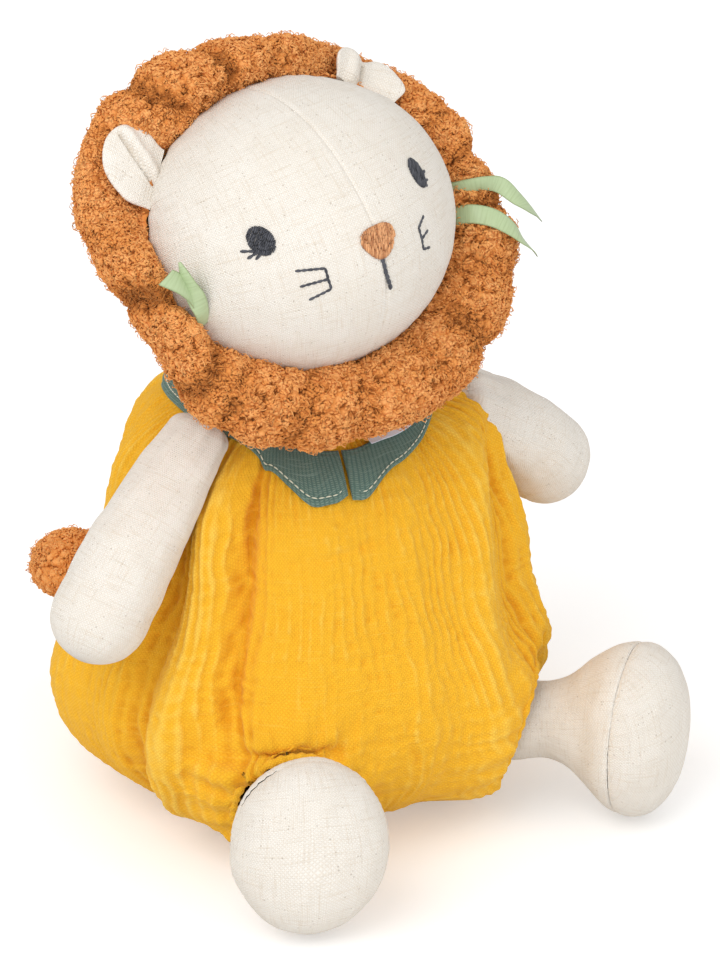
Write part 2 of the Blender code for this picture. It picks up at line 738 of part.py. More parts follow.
def seam_directions(sweep):
    """Outward in the seam's plane, along the seam and forward off its plane, in the head's frame."""
    outward = Vector((math.cos(sweep), SEAM_LEAN_SHARE * math.sin(sweep), math.sin(sweep)))
    along = Vector((-math.sin(sweep), SEAM_LEAN_SHARE * math.cos(sweep), math.cos(sweep)))
    forward = Vector((0.0, -1.0, SEAM_LEAN_SHARE))
    return outward.normalized(), along.normalized(), forward.normalized()


def back_tilt(sweep, seam_back, share):
    """Tilt at a share of the way from just behind the face seam to the middle of the back."""
    start = seam_tilt(sweep) + seam_back
    return start + (math.pi - start) * share


def head(collection, linen, teddy, stuffing, cutters):
    """Two face panels joined on the centre seam, the teddy back and the filling."""
    matrix = head_matrix()
    seam_back = SEW_GAP / HEAD_HALF_HEIGHT
    made = []
    neck = ball_cutter("head_neck", neck_point(), NECK_BALL + SEW_GAP, cutters)
    for label, sign in (("right", -1.0), ("left", 1.0)):
        sweep = [math.radians(-90.0 + 15.0 * index) for index in range(13)]
        rows = []
        for step in range(1, 9):
            row = head_ring(lambda angle: step * seam_tilt(angle) / 8, sweep, 0.0)
            rows.append([Vector((sign * max(point.x, 0.5 * SEW_GAP), point.y, point.z)) for point in row])
        tip = Vector((sign * 0.5 * SEW_GAP, -HEAD_HALF_DEPTH - muzzle_at(0.0, 0.0), 0.0))
        mesh = grid_mesh("face_" + label, rows, start_cap=tip)
        mesh.transform(matrix)
        face_away(mesh, matrix.translation)
        panel = new_object("face_" + label, mesh, linen, collection, neck_point())
        thicken(panel, LINEN_THICK)
        cut(panel, neck)
        made.append(panel)
    sweep = [2.0 * math.pi * index / 24 for index in range(24)]
    rows = []
    for step in range(8):
        rows.append(head_ring(lambda angle: back_tilt(angle, seam_back, step / 8), sweep, 0.0))
    mesh = grid_mesh("head_back", rows, closed=True, end_cap=Vector((0.0, HEAD_HALF_DEPTH, 0.0)))
    mesh.transform(matrix)
    face_away(mesh, matrix.translation)
    back = new_object("head_back", mesh, teddy, collection, neck_point())
    thicken(back, TEDDY_THICK)
    cut(back, neck)
    inset = TEDDY_THICK + 2.0 * SEW_GAP
    rows = [head_ring(lambda angle: math.pi * step / 12, sweep, inset) for step in range(1, 12)]
    mesh = grid_mesh("head_filling", rows, closed=True,
                     start_cap=Vector((0.0, inset - HEAD_HALF_DEPTH, 0.0)),
                     end_cap=Vector((0.0, HEAD_HALF_DEPTH - inset, 0.0)))
    mesh.transform(matrix)
    flip_if_inward(mesh)
    filling = new_object("head_filling", mesh, stuffing, collection, neck_point())
    cut(filling, neck)
    return made + [back, filling]


def neck_plug(collection, linen):
    """The packed neck between torso and head."""
    mesh = bpy.data.meshes.new("neck_plug")
    ball = bmesh.new()
    bmesh.ops.create_uvsphere(ball, u_segments=16, v_segments=10, radius=NECK_BALL)
    ball.to_mesh(mesh)
    ball.free()
    mesh.transform(Matrix.Translation(neck_point()))
    return new_object("neck_plug", mesh, linen, collection, neck_point())


def mane_swell(sweep):
    """How full the mane is at a sweep angle, as a share of its radial size."""
    degrees = (math.degrees(sweep) + 180.0) % 360.0 - 180.0
    return through(MANE_SWEEP_SHARES, degrees)


def mane_middle(sweep):
    """The middle of the mane's sleeve and how far it is set back by an ear, in the head's frame."""
    ear_share = 0.0
    reach = math.radians(MANE_EAR_REACH_DEGREES)
    for centre in (ear_sweep(-1.0), ear_sweep(1.0)):
        ear_share += bump(sweep, centre, reach)
    ear_share = min(1.0, ear_share)
    outward, _, forward = seam_directions(sweep)
    back = MANE_SET_BACK + MANE_EAR_BACK * ear_share
    place = seam_place(sweep) + outward * (MANE_RADIAL * mane_swell(sweep)) - forward * back
    return place, ear_share


def mane_point(sweep, around, inset, pleated):
    """A point of the mane: around is 0 outward and grows towards the face."""
    swell = mane_swell(sweep)
    pleat = abs(math.sin(0.5 * MANE_PLEATS * sweep + 0.6 * math.sin(2.0 * sweep)))
    crease = PLEAT_DEPTH * swell * ((1.0 - pleat) ** 2 if pleated else 1.0)
    middle, ear_share = mane_middle(sweep)
    outward, _, forward = seam_directions(sweep)
    ahead = math.sin(around)
    axial = MANE_AXIAL
    if ahead > 0.0:
        axial *= 1.0 - MANE_EAR_DIP_SHARE * ear_share
    radial = max(SEW_GAP, MANE_RADIAL * swell - crease - inset)
    axial -= crease + inset
    return middle + outward * (radial * math.cos(around)) + forward * (axial * ahead)


def mane_mesh(name, inset, steps, pleated):
    """Skin the mane's sleeve, open along the face seam, or its round filling."""
    around_steps = 8
    if pleated:
        angles = [math.pi * MANE_OPEN_SHARE * (2.0 * index / around_steps - 1.0)
                  for index in range(around_steps + 1)]
    else:
        angles = [2.0 * math.pi * index / around_steps for index in range(around_steps)]
    rows = []
    for step in range(steps):
        sweep = -math.pi / 2 + 2.0 * math.pi * step / steps
        wrapped = sweep if sweep <= math.pi else sweep - 2.0 * math.pi
        rows.append([mane_point(wrapped, angle, inset, pleated) for angle in angles])
    columns = [list(column) for column in zip(*rows)]
    if not pleated:
        columns.append(columns[0])
    mesh = grid_mesh(name, columns, closed=True)
    ring = bmesh.new()
    ring.from_mesh(mesh)
    bmesh.ops.remove_doubles(ring, verts=ring.verts, dist=SEW_GAP * WELD_SHARE)
    ring.to_mesh(mesh)
    ring.free()
    return mesh


def mane(collection, teddy, stuffing):
    """The mane: a pleated teddy sleeve, open along the face seam, round a soft ring."""
    sleeve = mane_mesh("mane_cover", 0.0, 72, True)
    outward_ring(sleeve)
    sleeve.transform(head_matrix())
    cover = new_object("mane_cover", sleeve, teddy, collection, neck_point())
    thicken(cover, TEDDY_THICK)
    soft = mane_mesh("mane_filling", TEDDY_THICK + 9.0 * SEW_GAP, 36, False)
    flip_if_inward(soft)
    soft.transform(head_matrix())
    filling = new_object("mane_filling", soft, stuffing, collection, neck_point())
    return cover, filling


def outward_ring(mesh):
    """Turn a sleeve's faces away from the ring's middle line, in the head's own frame."""
    sleeve = bmesh.new()
    sleeve.from_mesh(mesh)
    bmesh.ops.recalc_face_normals(sleeve, faces=sleeve.faces)
    lean = 0.0
    for face in sleeve.faces:
        centre = face.calc_center_median()
        middle, _ = mane_middle(math.atan2(centre.z, centre.x))
        lean += face.normal.dot(centre - middle)
    if lean < 0.0:
        bmesh.ops.reverse_faces(sleeve, faces=sleeve.faces)
    sleeve.to_mesh(mesh)
    sleeve.free()


def ear_sweep(sign):
    """Sweep angle of an ear, whose sign is negative on the lion's right."""
    away = LEFT_EAR_DEGREES if sign > 0.0 else RIGHT_EAR_DEGREES
    return math.pi / 2 - sign * math.radians(away)


def ear_base(sign):
    """Middle of an ear's sewn edge, with its rising, tangent and facing directions."""
    sweep = ear_sweep(sign)
    matrix = head_matrix()
    turn = matrix.to_3x3()
    outward, tangent, forward = seam_directions(sweep)
    stand = LEFT_EAR_STAND if sign > 0.0 else RIGHT_EAR_STAND
    place = seam_place(sweep) + (outward + forward) * stand
    lean = math.radians(LEFT_EAR_LEAN if sign > 0.0 else RIGHT_EAR_LEAN)
    rising = outward * math.cos(lean) - forward * math.sin(lean)
    facing = forward * math.cos(lean) + outward * math.sin(lean)
    return matrix @ place, turn @ rising, turn @ tangent, turn @ facing


def ear(label, sign, collection, linen):
    """One ear: two linen layers, cupped and pinched at the sewn edge."""
    base, rising, tangent, facing = ear_base(sign)
    made = []
    for name, side in (("front", -1.0), ("back", -3.0 - 2.0 * SEW_GAP / LINEN_THICK)):
        rows = []
        for row in range(6):
            rise = row / 5.0
            half = EAR_HALF_WIDTH * math.sqrt(max(0.02, 1.0 - max(0.0, rise - 0.12) ** 2.2 * 1.27))
            half *= 0.62 + 0.38 * smooth_step(0.0, 0.45, rise)
            points = []
            for column in range(9):
                across = column / 4.0 - 1.0
                cup = EAR_CUP * (across * across - 0.35) * (1.0 - 0.35 * rise)
                points.append(
                    base + tangent * (half * across) + rising * (EAR_LENGTH * rise)
                    + facing * cup
                )
            rows.append(points)
        mesh = grid_mesh("ear_" + label + "_" + name, rows)
        face_away(mesh, base - facing * EAR_LENGTH)
        part = new_object("ear_" + label + "_" + name, mesh, linen, collection, base)
        thicken(part, LINEN_THICK).offset = side
        made.append(part)
    return made


# Face embroidery: pads and strips that lie on the face panels

def stitched_pad(name, lateral, upward, outline, collection, material):
    """A raised pad whose edge is given as offsets from its middle."""
    shares = (0.5, 1.0)
    rows = []
    for share in shares:
        rows.append([
            face_place(lateral + x * share, upward + z * share, SEW_GAP) for x, z in outline
        ])
    mesh = grid_mesh(name, rows, closed=True, start_cap=face_place(lateral, upward, SEW_GAP))
    face_away(mesh, head_matrix().translation)
    part = new_object(name, mesh, material, collection, neck_point())
    thicken(part, THREAD_RISE, outward=True)
    return part


def eye_outline(sign):
    """An upright oval with two lashes at its outer lower edge."""
    points = []
    for step in range(24):
        angle = 2.0 * math.pi * step / 24
        x = EYE_HALF_WIDTH * math.cos(angle)
        z = EYE_HALF_HEIGHT * math.sin(angle)
        if step in (13, 15):
            reach = 1.0 + LASH_LENGTH / EYE_HALF_WIDTH
            x *= reach
            z *= reach
        points.append((x * sign, z))
    return points


def nose_outline():
    """A rounded triangle, wide above and pointed below."""
    points = []
    for step in range(24):
        angle = 2.0 * math.pi * step / 24
        swell = 1.0 + 0.16 * math.cos(3.0 * angle + 0.5 * math.pi)
        points.append((NOSE_HALF_WIDTH * math.cos(angle) * swell, NOSE_HALF_HEIGHT * math.sin(angle) * swell))
    return points


def stitched_strip(name, path, width, collection, material):
    """A line of stitches along places on the face."""
    rows = []
    for index, (x, z) in enumerate(path):
        x0, z0 = path[max(0, index - 1)]
        x1, z1 = path[min(len(path) - 1, index + 1)]
        run = math.hypot(x1 - x0, z1 - z0)
        across = (-(z1 - z0) / run, (x1 - x0) / run)
        rows.append([
            face_place(x + across[0] * width * side, z + across[1] * width * side, SEW_GAP)
            for side in (-0.5, 0.5)
        ])
    mesh = grid_mesh(name, rows)
    face_away(mesh, head_matrix().translation)
    part = new_object(name, mesh, material, collection, neck_point())
    thicken(part, THREAD_RISE, outward=True)
    return part


def whiskers(label, sign, collection, material):
    """Three whisker strokes on the thread that joins their inner ends."""
    half = 0.5 * THREAD_WIDTH
    levels = []
    for index in range(3):
        middle = -WHISKER_UP - WHISKER_STEP * index
        levels += [middle + half, middle - half]
    comb = bmesh.new()
    spine = []
    for level in levels:
        inner = comb.verts.new(face_place(sign * (WHISKER_IN - half), level, SEW_GAP))
        outer = comb.verts.new(face_place(sign * (WHISKER_IN + half), level, SEW_GAP))
        spine.append((inner, outer))
    for upper, lower in zip(spine, spine[1:]):
        comb.faces.new((upper[0], upper[1], lower[1], lower[0]))
    for index in range(3):
        upper = spine[2 * index][1]
        lower = spine[2 * index + 1][1]
        drop = (index - 1) * WHISKER_STEP * WHISKER_SPREAD_SHARE
        for share in (0.5, 1.0):
            reach = sign * (WHISKER_IN + half + (WHISKER_OUT - WHISKER_IN) * share)
            far_upper = comb.verts.new(face_place(reach, levels[2 * index] - drop * share, SEW_GAP))
            far_lower = comb.verts.new(face_place(reach, levels[2 * index + 1] - drop * share, SEW_GAP))
            comb.faces.new((upper, far_upper, far_lower, lower))
            upper = far_upper
            lower = far_lower
    name = "whiskers_" + label
    mesh = bpy.data.meshes.new(name)
    comb.to_mesh(mesh)
    comb.free()
    face_away(mesh, head_matrix().translation)
    part = new_object(name, mesh, material, collection, neck_point())
    thicken(part, THREAD_RISE, outward=True)
    return part


def embroidery(collection, thread, copper):
    """Eyes, nose, mouth and whiskers."""
    stitched_pad("nose", 0.0, -NOSE_DOWN, nose_outline(), collection, copper)
    path = [
        (0.0, -MOUTH_TOP - SEW_GAP - (MOUTH_BOTTOM - MOUTH_TOP) * step / 5.0) for step in range(6)
    ]
    stitched_strip("mouth_stitch", path, THREAD_WIDTH, collection, thread)
    for label, sign in (("right", -1.0), ("left", 1.0)):
        stitched_pad("eye_" + label, sign * EYE_OUT, EYE_UP, eye_outline(-sign), collection, thread)
        whiskers(label, sign, collection, thread)


# Ribbons at the face seam

def ribbon_rest(sweep, around):
    """A point just clear of the mane's pleats, in the head's frame."""
    outward, _, forward = seam_directions(sweep)
    full = MANE_RADIAL * mane_swell(sweep)
    middle = seam_place(sweep) + outward * full - forward * MANE_SET_BACK
    return (middle + outward * ((full + SLACK) * math.cos(around))
            + forward * ((MANE_AXIAL + SLACK) * math.sin(around)))


def ribbon(name, sweep_degrees, drop_degrees, turn_end, free, droop, collection, satin):
    """A satin tail from the face seam, over the front of the mane and off its edge."""
    rows = []
    half_turn = 0.5 * RIBBON_WIDTH / (HEAD_HALF_WIDTH + MANE_RADIAL)
    for step in range(7):
        share = step / 6.0
        middle = math.radians(sweep_degrees + drop_degrees * share * share)
        around = math.pi * (MANE_OPEN_SHARE + (turn_end - MANE_OPEN_SHARE) * share)
        rows.append([ribbon_rest(middle - half_turn, around), ribbon_rest(middle + half_turn, around)])
    heading = sum(rows[-1], Vector()) * 0.5 - sum(rows[-2], Vector()) * 0.5
    heading.normalize()
    for step in range(1, 4):
        share = step / 3.0
        sag = Vector((0.0, -0.5, -1.0)) * (droop * share * share)
        rows.append([point + heading * (free * share) + sag for point in rows[6]])
    mesh = grid_mesh(name, rows)
    face_away(mesh, Vector((0.0, HEAD_HALF_DEPTH, 0.0)))
    mesh.transform(head_matrix())
    part = new_object(name, mesh, satin, collection, neck_point())
    thicken(part, SATIN_THICK, outward=True)
    return part


# Collar: two leaves that follow the romper's shoulders

def shoulder_place(azimuth, radius, lift):
    """A point at a radius on the romper's top, lifted off it."""
    low, high, below = SHOULDER_SEARCH_SHARES
    for _ in range(30):
        middle = 0.5 * (low + high)
        place = body_point(azimuth, middle, 0.0, True)
        if math.hypot(place.x, place.y) > radius:
            low = middle
        else:
            high = middle
    place = body_point(azimuth, high, 0.0, True)
    near = body_point(azimuth, high - below, 0.0, True)
    slope = (near - place).normalized()
    around = Vector((-math.sin(azimuth), math.cos(azimuth), 0.0))
    normal = slope.cross(around).normalized()
    if normal.z < 0.0:
        normal.negate()
    return place + normal * lift


def collar_leaf(label, start, end, widths, collection, twill):
    """One leaf of the collar, from the front opening round to the back."""
    rows = []
    steps = 14
    for step in range(steps + 1):
        share = (step / steps) ** 1.25
        azimuth = math.radians(start + (end - start) * share)
        width = COLLAR_WIDTH * through(widths, 180.0 * share)
        row = []
        for across in range(5):
            inner = COLLAR_INNER + COLLAR_NECKLINE * bump(share, 0.0, NECKLINE_SHARE)
            radius = inner + (COLLAR_INNER + width - inner) * across / 4.0
            row.append(shoulder_place(azimuth, radius, COLLAR_LIFT))
        rows.append(row)
    mesh = grid_mesh("collar_" + label, rows)
    face_away(mesh, Vector((0.0, 0.0, ROMPER_HEIGHT * 0.5)))
    part = new_object("collar_" + label, mesh, twill, collection)
    thicken(part, TWILL_THICK, outward=True)
    return part


def collar_label(collection, material):
    """A bare tape label on the left leaf."""
    rows = []
    for step in range(4):
        azimuth = math.radians(-76.0 + 6.5 * step)
        rows.append([
            shoulder_place(azimuth, COLLAR_INNER + COLLAR_WIDTH * LABEL_IN_SHARE + LABEL_LENGTH * side,
                           COLLAR_LIFT + TWILL_THICK + 2.0 * SEW_GAP)
            for side in (0.0, 0.5, 1.0)
        ])
    mesh = grid_mesh("collar_label", rows)
    face_away(mesh, Vector((0.0, 0.0, ROMPER_HEIGHT * 0.5)))
    part = new_object("collar_label", mesh, material, collection)
    thicken(part, SATIN_THICK, outward=True)
    return part


# Tail

def tail_base():
    """Where the tail is sewn to the romper's back."""
    place = body_point(math.pi / 2, TAIL_BASE_Z / ROMPER_HEIGHT, 0.0, True)
    return place + Vector((0.0, TAIL_RADIUS + SEW_GAP, 0.0))


def tail(collection, linen, teddy):
    """The tail's cord and its teddy tuft, curled to the lion's right."""
    base = tail_base()
    tip = base + Vector((-TAIL_REACH, 0.10 * TAIL_REACH, TUFT_RISE))
    bend = base + Vector((-0.45 * TAIL_REACH, 0.36 * TAIL_REACH, 0.15 * TUFT_RISE))
    tuft_start, direction = curve_at(base, bend, tip, 0.62)
    level = Vector((0.0, 0.0, 1.0))
    rows = []
    for share in (-0.85, -0.5, 0.0, 0.12, 0.24, 0.36, 0.48, 0.614):
        place, heading = curve_at(base, bend, tip, max(0.0, share))
        shrink = 1.0
        if share < 0.0:
            place = place + heading * (TAIL_RADIUS * share)
            shrink = math.sqrt(1.0 - share * share)
        rows.append(section(place, heading, TAIL_RADIUS * shrink, TAIL_RADIUS * shrink, 12, level))
    mesh = grid_mesh("tail_cord", rows, closed=True, start_cap=sum(rows[0], Vector()) / 12,
                     end_cap=sum(rows[-1], Vector()) / 12)
    flip_if_inward(mesh)
    cord = new_object("tail_cord", mesh, linen, collection, base)
    seat = tuft_start + direction * SEW_GAP
    rows = []
    for step in range(1, 10):
        angle = math.pi * step / 10
        swell = math.sin(angle) ** 0.8
        place = seat + direction * (TUFT_HALF_LENGTH * (1.0 - math.cos(angle)))
        rows.append(section(place, direction, TUFT_RADIUS * swell, TUFT_RADIUS * swell, 14, level))
    mesh = grid_mesh("tail_tuft", rows, closed=True, start_cap=seat,
                     end_cap=seat + direction * (2.0 * TUFT_HALF_LENGTH))
    flip_if_inward(mesh)
    tuft = new_object("tail_tuft", mesh, teddy, collection, base)
    return cord, tuft


def clear_scene():
    """Start from an empty file."""
    for item in list(bpy.data.objects):
        bpy.data.objects.remove(item, do_unlink=True)
    for group in list(bpy.data.collections):
        bpy.data.collections.remove(group)


def main():
    """Build every sub-part of the lion."""
    clear_scene()
    lion = bpy.data.collections.new("plush_lion")
    cutters = bpy.data.collections.new("cutters")
    for group in (lion, cutters):
        bpy.context.scene.collection.children.link(group)
    linen = make_material("natural_linen", (0.86, 0.81, 0.74), 0.9)
    teddy = make_material("copper_teddy", (0.53, 0.17, 0.03), 0.95)
    gauze = make_material("mustard_gauze", (0.90, 0.50, 0.03), 0.9)
    twill = make_material("sage_twill", (0.10, 0.17, 0.14), 0.85)
    satin = make_material("sage_satin", (0.42, 0.52, 0.30), 0.4)
    thread = make_material("dark_thread", (0.04, 0.04, 0.05), 0.6)
    copper = make_material("copper_thread", (0.60, 0.25, 0.10), 0.5)
    stuffing = make_material("polyester_filling", (0.93, 0.93, 0.92), 1.0)
    tape = make_material("label_tape", (0.85, 0.86, 0.93), 0.6)
    torso(lion, linen, stuffing, cutters)
    romper_panels(lion, gauze, cutters)
    neck_plug(lion, linen)
    head(lion, linen, teddy, stuffing, cutters)
    mane(lion, teddy, stuffing)
    embroidery(lion, thread, copper)
    right_shoulder, left_shoulder = shoulder_points()
    arm("right", right_shoulder, Vector(RIGHT_HAND), lion, linen, stuffing)
    arm("left", left_shoulder, Vector(LEFT_HAND), lion, linen, stuffing)
    for (hip, foot, turn), label in zip(leg_ends(), ("right", "left")):
        leg(label, hip, foot, turn, lion, linen, stuffing)
        leg_hem("leg_hem_" + label, hip, curve_at(*leg_line(hip, foot, turn), 0.0)[1], lion, gauze)
    for label, sign in (("right", -1.0), ("left", 1.0)):
        ear(label, sign, lion, linen)
    ribbon("ribbon_left_upper", -7.0, -3.0, 0.30, RIBBON_FREE, RIBBON_DROOP, lion, satin)
    ribbon("ribbon_left_lower", -18.0, -1.0, 0.30, RIBBON_FREE, RIBBON_DROOP, lion, satin)
    ribbon("ribbon_right_upper", 188.0, -6.0, 0.50, RIBBON_TAB, RIBBON_TAB, lion, satin)
    ribbon("ribbon_right_lower", 206.0, -5.0, 0.50, RIBBON_TAB, RIBBON_TAB, lion, satin)
    collar_leaf("right", -99.6, -256.0, COLLAR_RIGHT_SHARES, lion, twill)
    collar_leaf("left", -98.4, 102.0, COLLAR_LEFT_SHARES, lion, twill)
    collar_label(lion, tape)
    tail(lion, linen, teddy)


main()
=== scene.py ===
"""Looks of a seated plush lion: its cloths, curls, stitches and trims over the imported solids."""

import logging
import math
from dataclasses import dataclass, field
from enum import Enum

import bmesh
import bpy
import numpy as np
from mathutils import Euler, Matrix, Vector


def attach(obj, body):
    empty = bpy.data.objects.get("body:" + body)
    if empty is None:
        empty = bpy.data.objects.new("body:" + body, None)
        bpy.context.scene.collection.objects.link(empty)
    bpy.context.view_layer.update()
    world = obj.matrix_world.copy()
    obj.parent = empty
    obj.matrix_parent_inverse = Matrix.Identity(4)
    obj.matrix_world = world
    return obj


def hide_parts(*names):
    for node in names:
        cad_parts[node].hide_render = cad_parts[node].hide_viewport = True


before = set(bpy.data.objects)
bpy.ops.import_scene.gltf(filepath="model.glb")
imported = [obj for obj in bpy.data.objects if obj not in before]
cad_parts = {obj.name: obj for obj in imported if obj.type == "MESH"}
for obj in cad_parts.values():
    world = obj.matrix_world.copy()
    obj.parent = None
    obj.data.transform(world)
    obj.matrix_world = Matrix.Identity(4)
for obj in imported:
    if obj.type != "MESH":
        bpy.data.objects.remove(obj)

LOG = logging.getLogger("plush_lion")
NECK_POINT = (-0.0010, -0.0080, 0.1376)
NECK_BALL = 0.0136
BOBBLE = 0.0024
BOBBLE_LIFT = 0.0019
Array = np.ndarray
Colour = tuple[float, float, float]
Stations = tuple[tuple[float, float], ...]


# Small maths on whole arrays

def smooth_step(low: float | Array, high: float | Array, value: Array) -> Array:
    """Ease from 0 at low to 1 at high."""
    share = np.clip((value - low) / (high - low), 0.0, 1.0)
    return share * share * (3.0 - 2.0 * share)


def hill(value: Array, centre: float | Array, width: float) -> Array:
    """A smooth hill of height 1 at centre."""
    return np.exp(-((value - centre) / width) ** 2)


def turn_between(degrees: Array, centre: float | Array) -> Array:
    """Signed difference of two headings, in degrees from -180 to 180."""
    return (degrees - centre + 180.0) % 360.0 - 180.0


def through(stations: Stations, share: Array) -> Array:
    """Read a smooth curve through stations.

    Args:
        stations: (share, value) pairs in rising order.
        share: Where to read.

    Returns:
        The curve's values.
    """
    knots = np.array(stations, float)
    xs, ys = knots[:, 0], knots[:, 1]
    slopes = np.gradient(ys, xs)
    share = np.clip(share, xs[0], xs[-1])
    index = np.clip(np.searchsorted(xs, share, side="right") - 1, 0, len(xs) - 2)
    span = xs[index + 1] - xs[index]
    t = (share - xs[index]) / span
    return ((2 * t ** 3 - 3 * t ** 2 + 1) * ys[index] + (t ** 3 - 2 * t ** 2 + t) * span * slopes[index]
            + (3 * t ** 2 - 2 * t ** 3) * ys[index + 1] + (t ** 3 - t ** 2) * span * slopes[index + 1])


def lattice(cell: Array, seed: int) -> Array:
    """A fixed random number from -1 to 1 for each lattice cell."""
    mixed = (cell[..., 0] * 374761393 + cell[..., 1] * 668265263 + cell[..., 2] * 1440662683 + seed * 362437)
    mixed = (mixed ^ (mixed >> 13)) * 1274126177
    mixed = (mixed ^ (mixed >> 16)) & 0xFFFF
    return mixed / 32767.5 - 1.0


def rough(places: Array, seed: int) -> Array:
    """Smooth noise from -1 to 1.

    Args:
        places: Points, one noise cell to a unit.
        seed: Which field to read.

    Returns:
        A value for each point.
    """
    cell = np.floor(places).astype(np.int64)
    part = places - cell
    part = part * part * (3.0 - 2.0 * part)
    total = np.zeros(places.shape[:-1])
    for dx in (0, 1):
        wx = part[..., 0] if dx else 1.0 - part[..., 0]
        for dy in (0, 1):
            wy = part[..., 1] if dy else 1.0 - part[..., 1]
            for dz in (0, 1):
                wz = part[..., 2] if dz else 1.0 - part[..., 2]
                total += wx * wy * wz * lattice(cell + np.array((dx, dy, dz)), seed)
    return total


def flat_rough(across: Array, along: Array, seed: int) -> Array:
    """Smooth noise over two shares."""
    return rough(grid(across, along, np.zeros(1)), seed)


def unit(vectors: Array) -> Array:
    """Vectors of length 1."""
    return vectors / np.maximum(np.linalg.norm(vectors, axis=-1, keepdims=True), 1e-12)


def grid(*parts: Array) -> Array:
    """Join arrays that broadcast together into one with a last axis."""
    return np.stack(np.broadcast_arrays(*parts), axis=-1)


def circle(count: int) -> Array:
    """Evenly spaced angles of a full turn."""
    return 2.0 * np.pi * np.arange(count) / count


def run_lengths(points: Array) -> Array:
    """Length along a line of points up to each one."""
    return np.concatenate([[0.0], np.cumsum(np.linalg.norm(np.diff(points, axis=0), axis=1))])


def read_line(at: Array, lengths: Array, points: Array) -> Array:
    """Points at given lengths along a line."""
    return np.stack([np.interp(at, lengths, points[:, axis]) for axis in range(points.shape[1])], axis=-1)


def normals_of(points: Array) -> Array:
    """Unit normals of a grid of points whose rows join end to end."""
    along = np.gradient(points, axis=0)
    across = (np.roll(points, -1, axis=1) - np.roll(points, 1, axis=1)) * 0.5
    return unit(np.cross(across, along))


def beside(vectors: Array, steep: float) -> Array:
    """A direction square to each vector, level unless the vector is steeper than a limit."""
    guide = np.where(np.abs(vectors[..., 2:3]) < steep, np.array((0.0, 0.0, 1.0)), np.array((1.0, 0.0, 0.0)))
    return unit(np.cross(vectors, guide))


# Meshes

def skin(name: str, points: Array, wrap: bool = False, middle: Array | None = None,
         cloth: Array | None = None, marks: dict[str, Array] | None = None,
         keep: Array | None = None, caps: tuple[bool, bool] = (False, False)) -> bpy.types.Object:
    """Skin a grid of points.

    Args:
        name: The piece's name.
        points: Rows by columns by 3, in metres.
        wrap: Whether each row's ends join.
        middle: A point, or a grid of points, that the faces turn away from.
        cloth: Each point's place on the flat cloth, rows by columns by 2.
        marks: Further numbers for each point, by name.
        keep: Which points stay; faces with any other point are left out.
        caps: Whether the first and the last row close on their middle.

    Returns:
        The linked object.
    """
    rows, columns = points.shape[:2]
    index = np.arange(rows * columns).reshape(rows, columns)
    nxt = np.roll(index, -1, axis=1) if wrap else index[:, 1:]
    now = index if wrap else index[:, :-1]
    faces = np.stack([now[:-1], nxt[:-1], nxt[1:], now[1:]], axis=-1).reshape(-1, 4)
    verts = points.reshape(-1, 3)
    flat = np.zeros((rows, columns, 2)) if cloth is None else cloth
    beyond = np.concatenate([flat[:, 1:], 2.0 * flat[:, -1:] - flat[:, -2:-1]], axis=1)[:, :now.shape[1]]
    flat = flat[:, :now.shape[1]]
    spots = np.stack([flat[:-1], beyond[:-1], beyond[1:], flat[1:]], axis=-2).reshape(-1, 4, 2)
    flip = False
    if middle is not None:
        base = np.broadcast_to(middle, points.shape).reshape(-1, 3)
        corner = verts[faces]
        normal = np.cross(corner[:, 2] - corner[:, 0], corner[:, 3] - corner[:, 1])
        flip = float(((corner.mean(axis=1) - base[faces[:, 0]]) * normal).sum()) < 0.0
    if keep is not None:
        chosen = keep.reshape(-1)[faces].all(axis=1)
        faces, spots = faces[chosen], spots[chosen]
    if flip:
        faces, spots = faces[:, ::-1], spots[:, ::-1]
    made = [list(face) for face in faces.tolist()]
    places = [spots.reshape(-1, 2)]
    for end, row, turned in ((caps[0], 0, not flip), (caps[1], rows - 1, flip)):
        if end:
            tip = len(verts)
            verts = np.vstack([verts, points[row].mean(axis=0)])
            for a, b in zip(now[row].tolist(), nxt[row].tolist()):
                made.append([b, a, tip] if turned else [a, b, tip])
            places.append(np.repeat(flat[row], 3, axis=0))
    mesh = bpy.data.meshes.new(name)
    mesh.from_pydata(verts.tolist(), [], made)
    mesh.shade_smooth()
    if cloth is not None:
        held = np.concatenate(places)
        held = np.hstack([held, np.zeros((len(held), 1))]).astype(np.float32)
        mesh.attributes.new("cloth", "FLOAT_VECTOR", "CORNER").data.foreach_set("vector", held.ravel())
    for mark, values in (marks or {}).items():
        level = np.zeros(len(verts), np.float32)
        level[:rows * columns] = np.broadcast_to(values, points.shape[:2]).reshape(-1)
        mesh.attributes.new(mark, "FLOAT", "POINT").data.foreach_set("value", level)
    if keep is not None:
        drop_loose(mesh)
    return link(name, mesh)


def slab(top: Array, under: Array) -> tuple[Array, Array]:
    """Join a cloth's two faces across its edges.

    Args:
        top: Rows by columns by 3.
        under: The same points on the reverse.

    Returns:
        The closed rows and the middle of the cloth beside each point.
    """
    core = 0.5 * (top + under)
    return np.concatenate([top, under[:, ::-1]], axis=1), np.concatenate([core, core[:, ::-1]], axis=1)


def both(values: Array) -> Array:
    """A flat cloth's values for both of its faces."""
    return np.concatenate([values, values[:, ::-1]], axis=1)


def link(name: str, data: bpy.types.ID) -> bpy.types.Object:
    """Put a mesh, lamp or camera in the scene under its name."""
    piece = bpy.data.objects.new(name, data)
    bpy.context.scene.collection.objects.link(piece)
    return piece


def drop_loose(mesh: bpy.types.Mesh) -> None:
    """Take out points that no face uses."""
    work = bmesh.new()
    work.from_mesh(mesh)
    for vert in [vert for vert in work.verts if not vert.link_faces]:
        work.verts.remove(vert)
    work.to_mesh(mesh)
    work.free()


